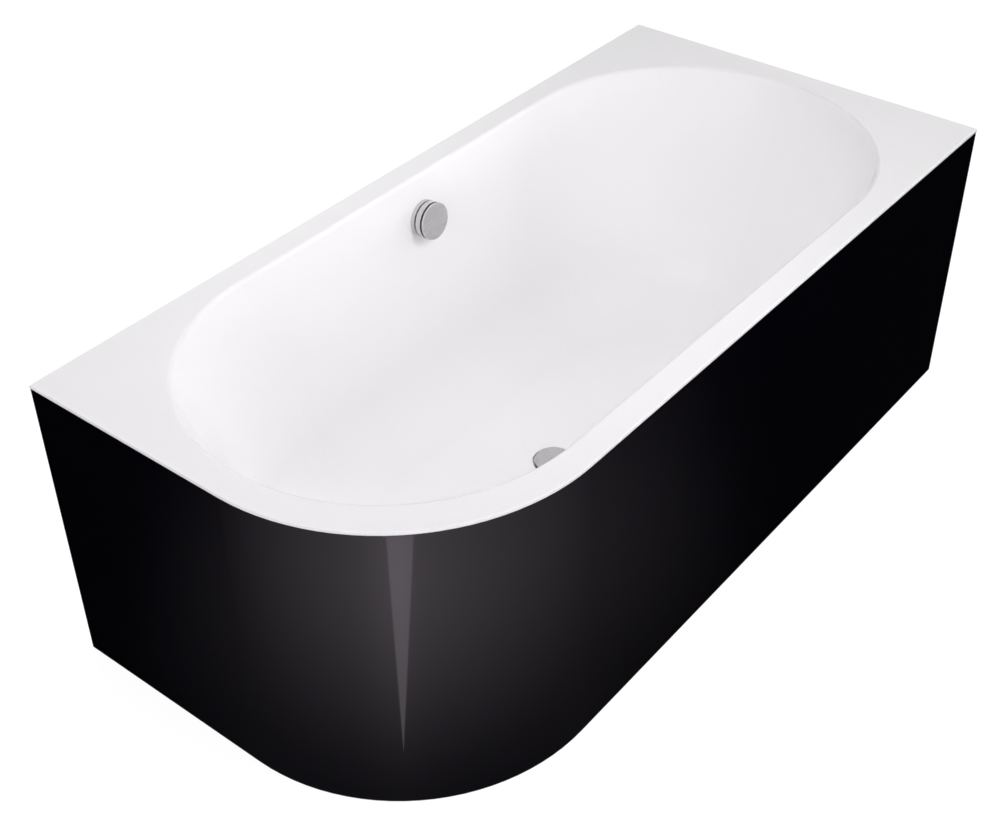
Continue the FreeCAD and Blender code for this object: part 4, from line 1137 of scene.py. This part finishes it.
@dataclass
class Studio:
    """The pale floor, the white surround, the soft lamps and the camera."""

    floor_half: float = 14.0
    floor_glow: float = 0.92
    floor_shade: Colour = (0.14, 0.14, 0.14)
    floor_pale: Colour = (0.8, 0.79, 0.8)
    sky_light: float = 0.2
    sensor: float = 36.0
    lens: float = 56.2271
    eye: Point = (-1.92183235, -1.40875134, 2.08060214)
    right: Point = (0.62110885, -0.78367345, -0.00892847)
    up: Point = (0.48790653, 0.37772995, 0.78693539)
    look: Point = (0.61332783, 0.49312879, -0.61697081)
    lamps: tuple[SoftBox, ...] = (
        SoftBox("lamp_basin", (-0.05, 0.0, 2.8), (-0.05, 0.0, 0.1), (0.7, 0.7), 0.405, 45.0),
        SoftBox("lamp_basin_floor", (0.0, 0.02, 2.8), (0.0, 0.02, 0.1), (1.0, 0.2), 0.155, 12.0),
        SoftBox("lamp_near_pool", (-0.4, 0.1, 2.8), (-0.4, 0.1, 0.1), (0.5, 0.3), 0.034, 20.0),
        SoftBox("lamp_near_foot", (-0.42, -0.05, 2.8), (-0.42, 0.0, 0.1), (0.15, 0.35), 0.041, 8.0),
        SoftBox("lamp_near_floor", (-0.55, -0.3, 2.7), (-0.5, 0.2, 0.25), (0.25, 0.15), 0.017, 10.0),
        SoftBox("lamp_far_floor", (0.35, -0.1, 2.8), (0.35, -0.1, 0.1), (0.6, 0.15), 0.075, 10.0),
        SoftBox("lamp_near_wall", (1.2, -1.6, 1.9), (-0.45, 0.3, 0.42), (0.4, 0.2), 0.097, 22.0),
        SoftBox("lamp_near_wall_top", (2.3, -0.3, 0.78), (-0.8, 0.05, 0.56), (0.8, 0.25), 0.145, 14.0),
        SoftBox("lamp_back_wall", (0.3, -1.9, 2.0), (0.1, 0.34, 0.45), (0.8, 0.2), 0.038, 18.0),
        SoftBox("lamp_back_wall_top", (-0.3, -2.2, 0.8), (-0.3, 0.36, 0.56), (1.2, 0.25), 0.096, 14.0),
        SoftBox("lamp_back_wall_top_far", (0.45, -2.2, 0.8), (0.4, 0.36, 0.56), (0.8, 0.25), 0.074, 14.0),
        SoftBox("lamp_front", (0.2, -3.4, 2.2), (0.0, 0.2, 0.4), (2.2, 2.2), 41.7),
        SoftBox("lamp_front_high", (-0.2, -2.2, 3.2), (-0.2, 0.2, 0.4), (1.4, 1.4), 4.44, 70.0),
        SoftBox("lamp_far_end", (3.6, -0.6, 2.2), (0.0, 0.0, 0.4), (2.2, 2.2), 41.0),
        SoftBox("lamp_near_end", (-3.6, -0.2, 2.4), (0.0, 0.0, 0.4), (2.2, 2.2), 63.1),
        SoftBox("lamp_back", (0.0, 3.4, 2.4), (0.0, 0.0, 0.4), (2.2, 2.2), 33.8),
    )

    def floor(self) -> None:
        """Lays the floor, white to the camera and pale to the lamps, under a soft shadow."""
        half = self.floor_half
        mesh = bpy.data.meshes.new("studio_floor")
        corners = [(-half, -half, 0.0), (half, -half, 0.0), (half, half, 0.0), (-half, half, 0.0)]
        mesh.from_pydata(corners, [], [(0, 1, 2, 3)])
        recipe = Recipe("studio_floor")
        lighting = recipe.put("BsdfDiffuse", {"Color": (*self.floor_pale, 1.0)})
        shadowed = recipe.put("BsdfDiffuse", {"Color": (*self.floor_shade, 1.0)})
        glow = recipe.put("Emission", {"Color": WHITE, "Strength": self.floor_glow})
        backdrop = recipe.put("AddShader", {0: shadowed.outputs[0], 1: glow.outputs[0]})
        output = recipe.tree.nodes["Material Output"]
        BackdropRays(recipe.tree).split(lighting, backdrop, output)
        recipe.tree.nodes.remove(recipe.shader)
        mesh.materials.append(recipe.material)
        ground = bpy.data.objects.new("studio_floor", mesh)
        bpy.context.scene.collection.objects.link(ground)

    def surround(self) -> None:
        """Makes the white surround, dimmer where it lights the object."""
        world = bpy.data.worlds.new("studio_surround")
        world.use_nodes = True
        tree = world.node_tree
        lighting = tree.nodes["Background"]
        backdrop = tree.nodes.new("ShaderNodeBackground")
        for node, strength in ((lighting, self.sky_light), (backdrop, 1.0)):
            node.inputs["Color"].default_value = WHITE
            node.inputs["Strength"].default_value = strength
        BackdropRays(tree).split(lighting, backdrop, tree.nodes["World Output"])
        bpy.context.scene.world = world

    def camera(self) -> None:
        """Stands the camera where the photograph was taken from."""
        data = bpy.data.cameras.new("photo_camera")
        data.sensor_width = self.sensor
        data.lens = self.lens
        stand = bpy.data.objects.new("photo_camera", data)
        turn = Matrix((self.right, self.up, -Vector(self.look))).transposed().to_4x4()
        stand.matrix_world = Matrix.Translation(self.eye) @ turn
        bpy.context.scene.collection.objects.link(stand)
        bpy.context.scene.camera = stand

    def build(self) -> list[str]:
        """Sets up the studio.

        Returns:
            The names of what stands in it.
        """
        bpy.context.scene.view_settings.view_transform = "Standard"
        self.floor()
        self.surround()
        self.camera()
        # Lays the painted reflection card for the black panel's gloss
        PaintedReflectionCard().lay(Vector(self.eye))
        for lamp in self.lamps:
            lamp.hang()
        names = ["studio_floor", "studio_surround", "photo_camera", "painted_reflection_card"]
        return names + [lamp.name for lamp in self.lamps]


def main() -> None:
    """Builds the studio and every sub-assembly in order, and reports each piece."""
    logging.basicConfig(level=logging.INFO, format="%(message)s")
    groups = (Studio(), Tub(), TimberFrame(), Undercarriage(), StaysAndBrackets(), WasteSet(), TrapSet(),
              OverflowSet(), HoseRun(), LiftCable())
    for group in groups:
        for piece in group.build():
            log.info("%s: %s", type(group).__name__, piece)


if __name__ == "__main__":
    main()
